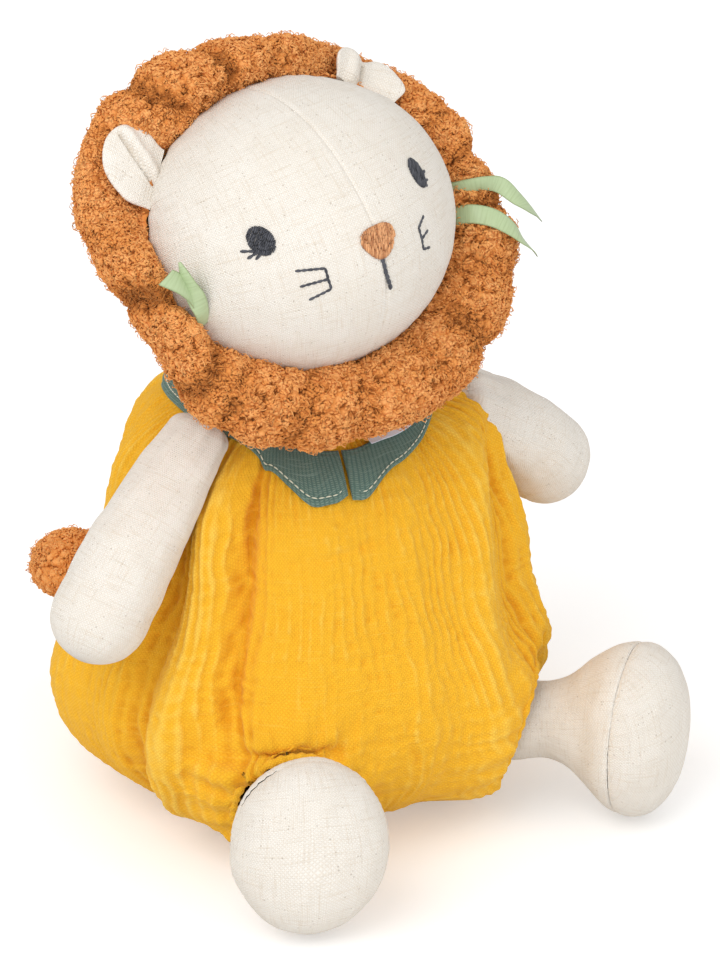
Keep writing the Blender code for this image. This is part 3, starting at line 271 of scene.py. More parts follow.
def tubes(name: str, paths: Array, radii: Array, sides: int, marks: dict[str, Array]) -> bpy.types.Object:
    """Skin many round strands at once.

    Args:
        name: The piece's name.
        paths: Strands by points by 3, in metres.
        radii: Strands by points.
        sides: Faces round each strand.
        marks: Further numbers, strands by points, by name.

    Returns:
        The linked object.
    """
    strands, steps = paths.shape[:2]
    along = unit(np.gradient(paths, axis=1))
    side = beside(along, 0.9)
    rise = np.cross(along, side)
    angles = circle(sides)
    ring = (side[:, :, None] * np.cos(angles)[None, None, :, None]
            + rise[:, :, None] * np.sin(angles)[None, None, :, None])
    verts = paths[:, :, None] + ring * radii[:, :, None, None]
    index = np.arange(strands * steps * sides).reshape(strands, steps, sides)
    nxt = np.roll(index, -1, axis=2)
    faces = np.stack([index[:, :-1], index[:, 1:], nxt[:, 1:], nxt[:, :-1]], axis=-1).reshape(-1, 4)
    made = [list(face) for face in faces.tolist()]
    made += [list(face) for face in index[:, 0].tolist()]
    made += [list(face) for face in index[:, -1, ::-1].tolist()]
    mesh = bpy.data.meshes.new(name)
    mesh.from_pydata(verts.reshape(-1, 3).tolist(), [], made)
    mesh.shade_smooth()
    for mark, values in marks.items():
        flat = np.repeat(np.broadcast_to(values, (strands, steps)).reshape(-1), sides).astype(np.float32)
        mesh.attributes.new(mark, "FLOAT", "POINT").data.foreach_set("value", flat)
    return link(name, mesh)


def pebbles(places: Array, cell: float, seed: int) -> tuple[Array, Array]:
    """Rounded lumps packed side by side.

    Args:
        places: Points in metres.
        cell: A lump's usual width.
        seed: Which field to read.

    Returns:
        Height from 0 in the gaps to 1 on the tops, and a random tone for each lump.
    """
    scaled = places / cell
    base = np.floor(scaled).astype(np.int64)
    nearest = np.full(places.shape[:-1], 9.0)
    tone = np.zeros(places.shape[:-1])
    for dx in (-1, 0, 1):
        for dy in (-1, 0, 1):
            for dz in (-1, 0, 1):
                corner = base + np.array((dx, dy, dz))
                shift = np.stack([lattice(corner, seed + axis) for axis in range(3)], axis=-1)
                gap = np.linalg.norm(corner + 0.5 + 0.45 * shift - scaled, axis=-1)
                closer = gap < nearest
                nearest = np.where(closer, gap, nearest)
                tone = np.where(closer, lattice(corner, seed + 7), tone)
    return np.sqrt(np.clip(1.0 - (nearest / 0.80) ** 2, 0.0, 1.0)), 0.5 + 0.5 * tone


def bobbles(places: Array) -> tuple[Array, Array]:
    """Height and tone of the pile's bobbles."""
    return pebbles(places, BOBBLE, 51)


def pile_curls(name: str, roots: Array, normals: Array, seed: int, shade: Array | float = 0.0) -> bpy.types.Object:
    """Short curls of yarn, drawn together in bobbles, that stand on a pile cloth.

    Args:
        name: The piece's name.
        roots: Where each curl is rooted.
        normals: The cloth's outward direction there.
        seed: Which random set to use.
        shade: How deep in a crease each root lies, 0 to 1, which darkens the curl there as painted shade.

    Returns:
        The curls as one piece.
    """
    chance = np.random.default_rng(seed)
    count = len(roots)
    bobble, hue = bobbles(roots)
    swirl = 5.0 * rough(roots / 0.003, seed) + 1.3 * chance.normal(size=count)
    first = beside(normals, 0.85)
    run = first * np.cos(swirl)[:, None] + np.cross(normals, first) * np.sin(swirl)[:, None]
    aside = np.cross(normals, run)
    stray = chance.uniform(0.0, 1.0, count) < 0.12
    size = 0.00050 * chance.uniform(0.7, 1.3, count) * np.where(stray, 1.9, 1.0)
    angle = np.linspace(0.08, 0.92, 4)[None, :] * np.pi + chance.uniform(-0.7, 0.7, count)[:, None]
    out = np.sin(angle) * size[:, None] * np.where(stray, 1.5, 0.8)[:, None]
    lean = np.linspace(-0.9, 0.9, 4)[None, :] * chance.uniform(-1.0, 1.0, count)[:, None] * size[:, None]
    paths = (roots[:, None] + normals[:, None] * (BOBBLE_LIFT * bobble - 0.0007)[:, None, None]
             + run[:, None] * (np.cos(angle) * size[:, None] * 1.1)[..., None]
             + normals[:, None] * out[..., None] + aside[:, None] * lean[..., None])
    radii = 0.00038 * np.array((0.62, 1.0, 1.0, 0.62))[None, :] * chance.uniform(0.75, 1.25, count)[:, None]
    radii = radii * np.where(stray, 0.36, 1.0)[:, None]
    deep = np.broadcast_to(shade, (count,))[:, None]
    # The tip mark is painted shade in the gaps between bobbles and in creases, and a painted highlight on bobble
    # tops and on curls that stand out.
    tip = np.clip(0.20 + 0.68 * bobble[:, None] + 0.14 * out / 0.0006 - 0.85 * deep, 0.0, 1.0)
    tone = np.repeat((0.5 * hue + 0.5 * chance.uniform(0.0, 1.0, count))[:, None], 4, axis=1)
    return tubes(name, paths, radii, 4, {"tip": tip, "tone": tone})


# Node trees

class Tree:
    """A short way to write shader nodes."""

    def __init__(self, tree: bpy.types.NodeTree) -> None:
        """Wrap a node tree."""
        self.tree = tree

    def node(self, kind: str, **settings: object) -> bpy.types.Node:
        """Add a node and set its properties."""
        made = self.tree.nodes.new(kind)
        for key, value in settings.items():
            setattr(made, key, value)
        return made

    def feed(self, socket: bpy.types.NodeSocket, value: object) -> None:
        """Link a socket to an output, or set its number or colour."""
        if isinstance(value, bpy.types.NodeSocket):
            self.tree.links.new(value, socket)
        elif isinstance(value, tuple) and socket.type == "RGBA":
            socket.default_value = (*value[:3], 1.0)
        else:
            socket.default_value = value

    def filled(self, kind: str, values: dict[object, object], **settings: object) -> bpy.types.Node:
        """Add a node and feed its inputs."""
        made = self.node(kind, **settings)
        for key, value in values.items():
            self.feed(made.inputs[key], value)
        return made

    def maths(self, operation: str, first: object, second: object = 0.0) -> bpy.types.NodeSocket:
        """A Math node's output."""
        return self.filled("ShaderNodeMath", {0: first, 1: second}, operation=operation).outputs[0]

    def mixed(self, share: object, first: object, second: object, weight: float = 1.0) -> bpy.types.NodeSocket:
        """A colour between two others, by a share times a weight."""
        part = share if weight == 1.0 else self.maths("MULTIPLY", share, weight)
        return self.filled("ShaderNodeMix", {"Factor": part, 6: first, 7: second}, data_type="RGBA").outputs[2]

    def spread(self, value: object, low: float, high: float, to_low: float = 0.0,
               to_high: float = 1.0) -> bpy.types.NodeSocket:
        """A number carried smoothly from one range to another."""
        values = {"Value": value, "From Min": low, "From Max": high, "To Min": to_low, "To Max": to_high}
        return self.filled("ShaderNodeMapRange", values, interpolation_type="SMOOTHSTEP").outputs["Result"]

    def grain(self, place: object, scale: float, detail: float, rough_share: float,
              seed: float) -> bpy.types.NodeSocket:
        """The slice of a noise texture that a seed names."""
        values = {"Vector": place, "W": seed, "Scale": scale, "Detail": detail, "Roughness": rough_share}
        return self.filled("ShaderNodeTexNoise", values, noise_dimensions="4D").outputs["Fac"]

    def stretched(self, place: object, scales: tuple[float, float, float]) -> bpy.types.NodeSocket:
        """A place multiplied by a scale along each direction."""
        made = self.filled("ShaderNodeVectorMath", {0: place}, operation="MULTIPLY")
        made.inputs[1].default_value = scales
        return made.outputs[0]

    def mark(self, name: str) -> bpy.types.NodeSocket:
        """A mesh's number of that name."""
        return self.node("ShaderNodeAttribute", attribute_name=name).outputs["Fac"]

    def cloth(self) -> bpy.types.NodeSocket:
        """Place on the flat cloth, in metres."""
        return self.node("ShaderNodeAttribute", attribute_name="cloth").outputs["Vector"]

    def place(self) -> bpy.types.NodeSocket:
        """Place in the object, in metres."""
        return self.node("ShaderNodeTexCoord").outputs["Object"]

    def raised(self, *layers: tuple[object, float, float]) -> bpy.types.NodeSocket:
        """The normal of bumps laid over each other, each a height, a depth and a strength."""
        normal = None
        for height, depth, strength in layers:
            values = {"Height": height, "Distance": depth, "Strength": strength}
            if normal is not None:
                values["Normal"] = normal
            normal = self.filled("ShaderNodeBump", values).outputs["Normal"]
        return normal

    def coat(self, shader: bpy.types.Node, colour: object, normal: object, numbers: dict[str, object]) -> None:
        """Feed a Principled shader its colour, its normal and its constant numbers."""
        self.feed(shader.inputs["Base Color"], colour)
        self.feed(shader.inputs["Normal"], normal)
        for label, number in numbers.items():
            shader.inputs[label].default_value = number


def new_group(name: str, inputs: tuple[tuple[str, str], ...], outputs: tuple[tuple[str, str], ...]) -> Tree:
    """Make a shader node group with named sockets."""
    group = bpy.data.node_groups.new(name, "ShaderNodeTree")
    for label, kind in inputs:
        group.interface.new_socket(label, in_out="INPUT", socket_type=kind)
    for label, kind in outputs:
        group.interface.new_socket(label, in_out="OUTPUT", socket_type=kind)
    return Tree(group)


class Effects:
    """Shader node groups that several finishes share."""

    def __init__(self) -> None:
        """Build each group once."""
        self.weave = self.build_weave()
        self.slubs = self.build_slubs()
        self.flecks = self.build_flecks()
        self.fuzz = self.build_fuzz()

    def group(self, name: str, inputs: tuple[str, ...], outputs: tuple[str, ...]) -> tuple[Tree, list]:
        """Make a node group; the first input is a place and the rest are numbers."""
        kinds = ["NodeSocketVector"] + ["NodeSocketFloat"] * (len(inputs) - 1)
        tree = new_group(name, tuple(zip(inputs, kinds)), tuple((label, "NodeSocketFloat") for label in outputs))
        given = tree.node("NodeGroupInput")
        return tree, [given.outputs[label] for label in inputs]

    def build_weave(self) -> bpy.types.NodeTree:
        """Threads over and under each other, as a height."""
        tree, (cloth, threads, sway) = self.group("thread_weave", ("Cloth", "Threads", "Sway"), ("Height",))
        wobble = tree.filled("ShaderNodeTexNoise", {"Vector": cloth, "Scale": 420.0}).outputs["Color"]
        shift = tree.filled("ShaderNodeVectorMath", {0: wobble, "Scale": sway}, operation="SCALE").outputs[0]
        scaled = tree.filled("ShaderNodeVectorMath", {0: cloth, "Scale": threads}, operation="SCALE").outputs[0]
        moved = tree.filled("ShaderNodeVectorMath", {0: scaled, 1: shift}, operation="ADD").outputs[0]
        parts = tree.filled("ShaderNodeSeparateXYZ", {0: moved})
        waves = [tree.maths("SINE", tree.maths("MULTIPLY", parts.outputs[axis], math.pi)) for axis in (0, 1)]
        crossing = tree.maths("MULTIPLY", waves[0], waves[1])
        lifted = tree.maths("MAXIMUM", tree.maths("ABSOLUTE", waves[0]), tree.maths("ABSOLUTE", waves[1]))
        height = tree.maths("ADD", tree.maths("MULTIPLY", lifted, 0.65), tree.maths("MULTIPLY", crossing, 0.35))
        tree.filled("NodeGroupOutput", {"Height": height})
        return tree.tree

    def build_slubs(self) -> bpy.types.NodeTree:
        """Thick and thin stretches of yarn in both directions of a cloth."""
        tree, (cloth,) = self.group("yarn_slubs", ("Cloth",), ("Warp", "Weft"))
        warp = tree.grain(tree.stretched(cloth, (1500.0, 90.0, 1.0)), 1.0, 2.0, 0.6, 3.0)
        weft = tree.grain(tree.stretched(cloth, (90.0, 1500.0, 1.0)), 1.0, 2.0, 0.6, 7.0)
        tree.filled("NodeGroupOutput", {"Warp": warp, "Weft": weft})
        return tree.tree

    def build_flecks(self) -> bpy.types.NodeTree:
        """Scattered bits of husk caught in the yarn."""
        tree, (cloth, share) = self.group("husk_flecks", ("Cloth", "Share"), ("Mask",))
        cells = tree.filled("ShaderNodeTexVoronoi", {"Vector": cloth, "Scale": 1200.0}, feature="F1")
        red = tree.filled("ShaderNodeSeparateColor", {0: cells.outputs["Color"]}).outputs[0]
        near = tree.spread(cells.outputs["Distance"], 0.18, 0.42, 1.0, 0.0)
        mask = tree.maths("MULTIPLY", tree.maths("LESS_THAN", red, share), near)
        tree.filled("NodeGroupOutput", {"Mask": mask})
        return tree.tree

    def build_fuzz(self) -> bpy.types.NodeTree:
        """Fine fibres on a cloth's face, as a height and a tone."""
        tree, (place,) = self.group("fibre_fuzz", ("Place",), ("Height", "Tone"))
        tree.filled("NodeGroupOutput", {"Height": tree.grain(place, 5200.0, 3.0, 0.65, 1.0),
                                        "Tone": tree.grain(place, 70.0, 3.0, 0.55, 2.0)})
        return tree.tree

    def use(self, tree: Tree, group: bpy.types.NodeTree, **values: object) -> bpy.types.bpy_prop_collection:
        """Place a group in a material with its own values and give its outputs."""
        made = tree.node("ShaderNodeGroup")
        made.node_tree = group
        for key, value in values.items():
            tree.feed(made.inputs[key], value)
        return made.outputs


def new_material(name: str) -> tuple[bpy.types.Material, Tree, bpy.types.Node]:
    """Make a material with a Principled shader."""
    material = bpy.data.materials.new(name)
    material.use_nodes = True
    tree = Tree(material.node_tree)
    shader = material.node_tree.nodes["Principled BSDF"]
    shader.inputs["IOR"].default_value = 1.45
    return material, tree, shader


@dataclass(frozen=True)
class LinenFinish:
    """Unbleached linen: an uneven plain weave with husk flecks."""

    name: str = "natural_linen"
    pale: Colour = (0.880, 0.845, 0.785)
    yarn: Colour = (0.68, 0.57, 0.44)
    fleck: Colour = (0.30, 0.22, 0.15)
    roughness: float = 0.92

    def material(self, effects: Effects) -> bpy.types.Material:
        """Build the material."""
        material, tree, shader = new_material(self.name)
        cloth = tree.cloth()
        weave = effects.use(tree, effects.weave, Cloth=cloth, Threads=1900.0, Sway=0.5)
        slubs = effects.use(tree, effects.slubs, Cloth=cloth)
        flecks = effects.use(tree, effects.flecks, Cloth=cloth, Share=0.040)
        fuzz = effects.use(tree, effects.fuzz, Place=tree.place())
        streaks = tree.maths("ADD", tree.spread(slubs["Warp"], 0.50, 0.72), tree.spread(slubs["Weft"], 0.50, 0.72))
        colour = tree.mixed(streaks, self.pale, self.yarn, 0.36)
        colour = tree.mixed(tree.spread(weave["Height"], 0.75, 0.15), colour, self.yarn, 0.42)
        colour = tree.mixed(tree.spread(fuzz["Tone"], 0.35, 0.65), colour, self.yarn, 0.12)
        colour = tree.mixed(flecks["Mask"], colour, self.fleck, 0.42)
        bumps = tree.raised((slubs["Warp"], 0.00022, 0.9), (slubs["Weft"], 0.00022, 0.9),
                            (weave["Height"], 0.00022, 0.8))
        tree.coat(shader, colour, bumps, {
            "Roughness": self.roughness, "Sheen Weight": 0.08, "Specular IOR Level": 0.2})
        return material


@dataclass(frozen=True)
class TeddyFinish:
    """Curly teddy pile, with painted shade between the curls and in creases and a painted highlight on their tops.
    """

    name: str = "copper_teddy"
    # The root colour is painted shade between the curls and in creases; it also darkens the fibre strands a little.
    root: Colour = (0.430, 0.140, 0.028)
    yarn: Colour = (0.750, 0.285, 0.068)
    # The top colour is a painted highlight on the curls' tops; it also lightens the fibre strands a little.
    top: Colour = (0.930, 0.455, 0.160)
    roughness: float = 0.95

    def material(self, effects: Effects) -> bpy.types.Material:
        """Build the material."""
        material, tree, shader = new_material(self.name)
        place, tip, tone = tree.place(), tree.mark("tip"), tree.mark("tone")
        fuzz = effects.use(tree, effects.fuzz, Place=place)
        strands = tree.grain(place, 2600.0, 2.0, 0.6, 5.0)
        # Low tip values give the painted shade, high ones the painted highlight.
        colour = tree.mixed(tree.spread(tip, 0.05, 0.60), self.root, self.yarn)
        lit = tree.maths("MULTIPLY", tree.spread(tip, 0.45, 1.0), tree.spread(tone, -0.3, 1.0))
        colour = tree.mixed(lit, colour, self.top)
        colour = tree.mixed(tree.spread(strands, 0.48, 0.66), colour, self.top, 0.20)
        colour = tree.mixed(tree.spread(strands, 0.46, 0.34), colour, self.root, 0.12)
        bumps = tree.raised((strands, 0.00018, 0.6), (fuzz["Height"], 0.00012, 0.6))
        tree.coat(shader, colour, bumps, {
            "Roughness": self.roughness, "Sheen Weight": 0.30, "Sheen Roughness": 0.5,
            "Sheen Tint": (1.0, 0.62, 0.30, 1.0), "Specular IOR Level": 0.12})
        return material


@dataclass(frozen=True)
class GauzeFinish:
    """Crinkled double gauze, with painted shade in its valleys and folds and a painted highlight on its ridges."""

    name: str = "mustard_gauze"
    # The ridge colour is a painted highlight on the crinkles and folds, and also the paler slub yarn.
    ridge: Colour = (0.965, 0.625, 0.090)
    field_colour: Colour = (0.925, 0.505, 0.030)
    # The valley colour is painted shade in the crinkles' valleys and the folds' grooves; it also darkens the gaps of
    # the weave.
    valley: Colour = (0.700, 0.270, 0.008)
    roughness: float = 0.95

    def material(self, effects: Effects) -> bpy.types.Material:
        """Build the material."""
        material, tree, shader = new_material(self.name)
        cloth, painted_relief_light = tree.cloth(), tree.mark("painted_relief_light")
        weave = effects.use(tree, effects.weave, Cloth=cloth, Threads=1750.0, Sway=1.3)
        slubs = effects.use(tree, effects.slubs, Cloth=cloth)
        fuzz = effects.use(tree, effects.fuzz, Place=tree.place())
        # Painted shade where the relief is low, a painted highlight where it is high.
        colour = tree.mixed(tree.spread(painted_relief_light, 0.40, 0.0), self.field_colour, self.valley, 0.75)
        colour = tree.mixed(tree.spread(painted_relief_light, 0.55, 1.0), colour, self.ridge)
        colour = tree.mixed(tree.spread(weave["Height"], 0.80, 0.25), colour, self.valley, 0.34)
        colour = tree.mixed(tree.spread(slubs["Weft"], 0.52, 0.75), colour, self.ridge, 0.30)
        crimp = tree.grain(tree.stretched(cloth, (620.0, 400.0, 1.0)), 1.0, 3.0, 0.6, 9.0)
        bumps = tree.raised((crimp, 0.00055, 0.8), (fuzz["Height"], 0.00012, 0.5),
                            (slubs["Weft"], 0.00012, 0.5), (weave["Height"], 0.00022, 0.8))
        tree.coat(shader, colour, bumps, {
            "Roughness": self.roughness, "Sheen Weight": 0.22, "Sheen Roughness": 0.45,
            "Sheen Tint": (1.0, 0.80, 0.40, 1.0), "Specular IOR Level": 0.15})
        return material


@dataclass(frozen=True)
class TwillFinish:
    """Sage twill with pale diagonal threads."""

    name: str = "sage_twill"
    deep: Colour = (0.082, 0.148, 0.122)
    thread: Colour = (0.250, 0.350, 0.295)
    roughness: float = 0.9

    def material(self, effects: Effects) -> bpy.types.Material:
        """Build the material."""
        material, tree, shader = new_material(self.name)
        cloth = tree.cloth()
        turned = tree.filled("ShaderNodeVectorRotate", {"Vector": cloth, "Angle": math.radians(42.0)},
                             rotation_type="Z_AXIS").outputs[0]
        weave = effects.use(tree, effects.weave, Cloth=turned, Threads=1500.0, Sway=0.35)
        slubs = effects.use(tree, effects.slubs, Cloth=turned)
        fuzz = effects.use(tree, effects.fuzz, Place=cloth)
        colour = tree.mixed(tree.spread(weave["Height"], 0.3, 0.95), self.deep, self.thread, 0.55)
        colour = tree.mixed(tree.spread(slubs["Warp"], 0.50, 0.72), colour, self.thread, 0.6)
        bumps = tree.raised((fuzz["Height"], 0.00010, 0.5), (weave["Height"], 0.00020, 0.9))
        tree.coat(shader, colour, bumps, {
            "Roughness": self.roughness, "Sheen Weight": 0.15, "Sheen Tint": (0.6, 0.8, 0.7, 1.0)})
        return material


@dataclass(frozen=True)
class SatinFinish:
    """Woven satin tape: glossy along its run, with a fine cross rib."""

    name: str
    base: Colour
    shade: Colour
    roughness: float = 0.34

    def material(self, effects: Effects) -> bpy.types.Material:
        """Build the material."""
        material, tree, shader = new_material(self.name)
        slubs = effects.use(tree, effects.slubs, Cloth=tree.cloth())
        colour = tree.mixed(tree.spread(slubs["Weft"], 0.40, 0.75), self.base, self.shade, 0.35)
        colour = tree.mixed(tree.spread(tree.mark("edge"), 0.80, 1.0), colour, self.shade, 0.5)
        colour = tree.mixed(tree.mark("reverse"), colour, self.shade, 0.75)
        tree.coat(shader, colour, tree.raised((slubs["Weft"], 0.00004, 0.5)), {
            "Roughness": self.roughness, "Anisotropic": 0.4, "Sheen Weight": 0.1})
        return material


@dataclass(frozen=True)
class ThreadFinish:
    """Embroidery thread: twisted, in random tones, with a soft painted highlight along each stitch's crown."""

    name: str
    deep: Colour
    lit: Colour
    roughness: float = 0.5

    def material(self, effects: Effects) -> bpy.types.Material:
        """Build the material."""
        material, tree, shader = new_material(self.name)
        fuzz = effects.use(tree, effects.fuzz, Place=tree.place())
        # The tone mark gives each stitch a random tone with a painted highlight on its crown and painted shade
        # towards its ends.
        colour = tree.mixed(tree.spread(tree.mark("tone"), 0.0, 1.0), self.deep, self.lit)
        colour = tree.mixed(tree.spread(fuzz["Height"], 0.5, 0.7), colour, self.lit, 0.3)
        tree.coat(shader, colour, tree.raised((fuzz["Height"], 0.00006, 0.6)), {
            "Roughness": self.roughness, "Sheen Weight": 0.1})
        return material


@dataclass
class Finishes:
    """All the materials, by the record's slot."""

    effects: Effects = field(default_factory=Effects)
    by_slot: dict[str, bpy.types.Material] = field(default_factory=dict)

    def build(self) -> None:
        """Make every material."""
        made = {
            "linen": LinenFinish(),
            "teddy": TeddyFinish(),
            "gauze": GauzeFinish(),
            "collar": TwillFinish(),
            "ribbon": SatinFinish("sage_satin", (0.46, 0.57, 0.33), (0.25, 0.32, 0.13)),
            "label": SatinFinish("bare_tape", (0.80, 0.81, 0.88), (0.62, 0.63, 0.72), 0.5),
            "dark_thread": ThreadFinish("dark_thread", (0.022, 0.024, 0.032), (0.085, 0.088, 0.105)),
            "copper_thread": ThreadFinish("copper_thread", (0.36, 0.12, 0.035), (0.82, 0.42, 0.19), 0.42),
            "cream_thread": ThreadFinish("cream_thread", (0.50, 0.52, 0.38), (0.76, 0.76, 0.60)),
        }
        for slot, finish in made.items():
            self.by_slot[slot] = finish.material(self.effects)

    def dress(self, piece: bpy.types.Object, finish: str, body: str,
              stands_for: tuple[str, ...] = ()) -> bpy.types.Object:
        """Give a piece its material and body, and hide the nodes it stands for.

        Args:
            piece: The finished piece.
            finish: Key of its material.
            body: The CAD body it rides on.
            stands_for: CAD nodes that it replaces.

        Returns:
            The same piece.
        """
        piece.data.materials.append(self.by_slot[finish])
        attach(piece, body)
        if stands_for:
            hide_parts(*stands_for)
        LOG.info("%s: %d faces on %s", piece.name, len(piece.data.polygons), body)
        return piece


class Side(Enum):
    """The lion's own right and left."""

    RIGHT = "right"
    LEFT = "left"

    @property
    def sign(self) -> float:
        """Negative on the lion's right."""
        return -1.0 if self is Side.RIGHT else 1.0


# Body and romper

@dataclass
class Leg:
    """Where one leg starts, ends and points."""

    hip: tuple[float, float, float]
    foot: tuple[float, float, float]
    turn_degrees: float

    def line(self) -> tuple[Array, Array, Array]:
        """Start, bend and end of the leg's centre line."""
        hip, foot = np.array(self.hip), np.array(self.foot)
        angle = math.radians(self.turn_degrees)
        heading = np.array((math.cos(angle), math.sin(angle), 0.0))
        return hip, foot - heading * (0.5 * np.linalg.norm(foot - hip)), foot

    def heading(self) -> Array:
        """Direction in which the leg leaves the hip."""
        start, bend, _ = self.line()
        return unit(bend - start)


LEGS = {
    Side.RIGHT: Leg((-0.0364, -0.0665, 0.0280), (-0.0430, -0.0900, 0.0296), -106.0),
    Side.LEFT: Leg((0.0478, -0.0526, 0.0280), (0.0737, -0.0741, 0.0296), -48.0),
}


@dataclass(frozen=True)
class Fold:
    """A ridge or groove that runs down the romper."""

    course: Stations
    width: float
    depth: float

    def push(self, degrees: Array, share: Array) -> Array:
        """How far the fold moves the cloth outward, in metres."""
        return self.depth * hill(turn_between(degrees, through(self.course, share)), 0.0, self.width)


@dataclass
class Romper:
    """The bubble romper: folded, crinkled gauze gathered at the neck and at the leg hems."""

    half_width: float = 0.0775
    half_depth: float = 0.0720
    height: float = 0.1322
    girth: float = 0.070
    front_drop: float = 0.0050
    arm_dent: float = 0.0045
    leg_radius: float = 0.0145
    leg_play: float = 0.0014
    hem_roll: float = 0.0013
    hem_along: float = -0.0018
    hem_slant: float = 0.0075
    cuff_reach: float = 0.0140
    crotch_forward: float = 0.0140
    puffs: tuple[tuple[float, float, float, float, float], ...] = (
        (-33.0, 17.0, 0.95, 0.13, 0.0125), (-29.0, 21.0, 0.66, 0.15, 0.0074),
    )
    shoulders: tuple[tuple[float, float, float], ...] = (
        (-0.0483, -0.0194, 0.1216), (0.0483, -0.0194, 0.1216),
    )
    shares: Stations = (
        (0.00, 0.50), (0.04, 0.66), (0.11, 0.84), (0.20, 0.955), (0.30, 1.00), (0.41, 0.975),
        (0.52, 0.905), (0.64, 0.84), (0.76, 0.772), (0.86, 0.695), (0.94, 0.56), (1.00, 0.36),
    )
    folds: tuple[Fold, ...] = (
        Fold(((0.0, -148.0), (0.35, -146.0), (0.6, -144.0), (1.0, -142.0)), 5.6, 0.0056),
        Fold(((0.0, -160.0), (0.4, -157.5), (0.7, -156.5), (1.0, -156.0)), 4.4, -0.0046),
        Fold(((0.0, -127.0), (0.36, -130.0), (0.6, -132.0), (1.0, -128.0)), 4.4, -0.0042),
        Fold(((0.0, -72.0), (0.28, -69.0), (0.5, -63.0), (0.7, -57.0), (1.0, -46.0)), 6.0, 0.0042),
        Fold(((0.0, -50.0), (0.3, -50.0), (0.5, -46.0), (0.7, -41.0), (1.0, -34.0)), 6.4, -0.0040),
        Fold(((0.0, -24.0), (1.0, -20.0)), 7.0, -0.0023),
        Fold(((0.0, -9.0), (0.35, -7.0), (1.0, -2.0)), 7.0, -0.0016),
        Fold(((0.0, 14.0), (1.0, 14.0)), 8.0, 0.0023),
        Fold(((0.0, 38.0), (1.0, 32.0)), 9.0, -0.0023),
        Fold(((0.0, 66.0), (1.0, 60.0)), 9.0, 0.0027),
        Fold(((0.0, 95.0), (1.0, 92.0)), 9.0, -0.0023),
        Fold(((0.0, 122.0), (1.0, 124.0)), 9.0, 0.0027),
        Fold(((0.0, 148.0), (1.0, 152.0)), 9.0, -0.0023),
        Fold(((0.0, 171.0), (1.0, 170.0)), 8.0, 0.0023),
        Fold(((0.0, -171.0), (0.35, -173.0), (1.0, -178.0)), 6.0, -0.0016),
        Fold(((0.0, -116.0), (0.5, -112.0), (1.0, -104.0)), 3.6, 0.0009),
        Fold(((0.0, -98.0), (0.5, -97.0), (1.0, -92.0)), 4.2, -0.0008),
        Fold(((0.0, -155.0), (0.4, -153.5), (0.7, -152.0), (1.0, -151.0)), 2.4, -0.0028),
        Fold(((0.0, -127.0), (0.36, -131.5), (0.6, -134.0), (0.8, -132.0), (1.0, -127.0)), 2.2, -0.0026),
        Fold(((0.0, -47.0), (0.3, -46.0), (0.5, -43.0), (0.7, -38.0), (1.0, -31.0)), 2.2, -0.0012),
        Fold(((0.0, -86.0), (0.5, -84.0), (1.0, -80.0)), 3.6, 0.0009),
        Fold(((0.0, -35.0), (0.5, -33.0), (1.0, -28.0)), 3.4, 0.0012),
    )

    def hem_radius(self) -> float:
        """Middle radius of a leg hem."""
        return self.leg_radius + self.leg_play + self.hem_roll

    def form(self, azimuth: Array, share: Array) -> Array:
        """The romper's form with its main folds, before its cuffs."""
        degrees = np.degrees(azimuth)
        width = through(self.shares, np.maximum(share, 0.0))
        push = sum(fold.push(degrees, share) for fold in self.folds)
        fall = smooth_step(0.0, 0.12, share) * (1.0 - smooth_step(0.84, 1.0, share))
        half_x = self.half_width * width - self.arm_dent * hill(share, 0.62, 0.16) + push * fall
        half_y = self.half_depth * width + push * fall
        shrink = np.clip(1.0 + share / 0.30, 0.02, 1.0)
        x = half_x * np.cos(azimuth) * shrink
        y = half_y * np.sin(azimuth) * shrink
        z = self.height * np.maximum(share, 0.0)
        z = z + self.front_drop * np.maximum(share, 0.0) ** 2 * y / self.half_depth
        points = np.stack([x, y, z], axis=-1)
        radial = np.stack([np.cos(azimuth), np.sin(azimuth), 0.0 * azimuth], axis=-1)
        for centre, breadth, level, reach, depth in self.puffs:
            puff = depth * hill(turn_between(degrees, centre), 0.0, breadth) * hill(share, level, reach)
            puff = puff * (1.0 - smooth_step(0.95, 1.0, share))
            points = points + radial * puff[..., None]
        for shoulder in self.shoulders:
            gap = np.linalg.norm(points - np.array(shoulder) + np.array((0.0, 0.0, 0.0070)), axis=-1)
            points = points - radial * (0.0017 * hill(gap, 0.0, 0.0170))[..., None]
        return points

    def top(self, azimuth: Array, radius: Array, lift: Array) -> Array:
        """Points on the romper's top at a distance from its middle line."""
        low = np.full_like(azimuth, 0.55)
        high = np.ones_like(azimuth)
        for _ in range(24):
            middle = 0.5 * (low + high)
            place = self.form(azimuth, middle)
            outside = np.hypot(place[..., 0], place[..., 1]) > radius
            low = np.where(outside, middle, low)
            high = np.where(outside, high, middle)
        place = self.form(azimuth, high)
        slope = self.form(azimuth, high - 0.02) - place
        around = np.stack([-np.sin(azimuth), np.cos(azimuth), 0.0 * azimuth], axis=-1)
        normal = unit(np.cross(slope, around))
        normal = normal * np.sign(normal[..., 2:3])
        return place + normal * lift[..., None]

    def crinkle(self, azimuth: Array, share: Array) -> Array:
        """The gauze's fine wrinkles in metres, carried on across the back of the turn."""
        part = 0.5 * smooth_step(2.75, np.pi, np.abs(azimuth))
        other = azimuth - 2.0 * np.pi * np.sign(azimuth)
        return (1.0 - part) * self.wrinkles(azimuth, share) + part * self.wrinkles(other, share)

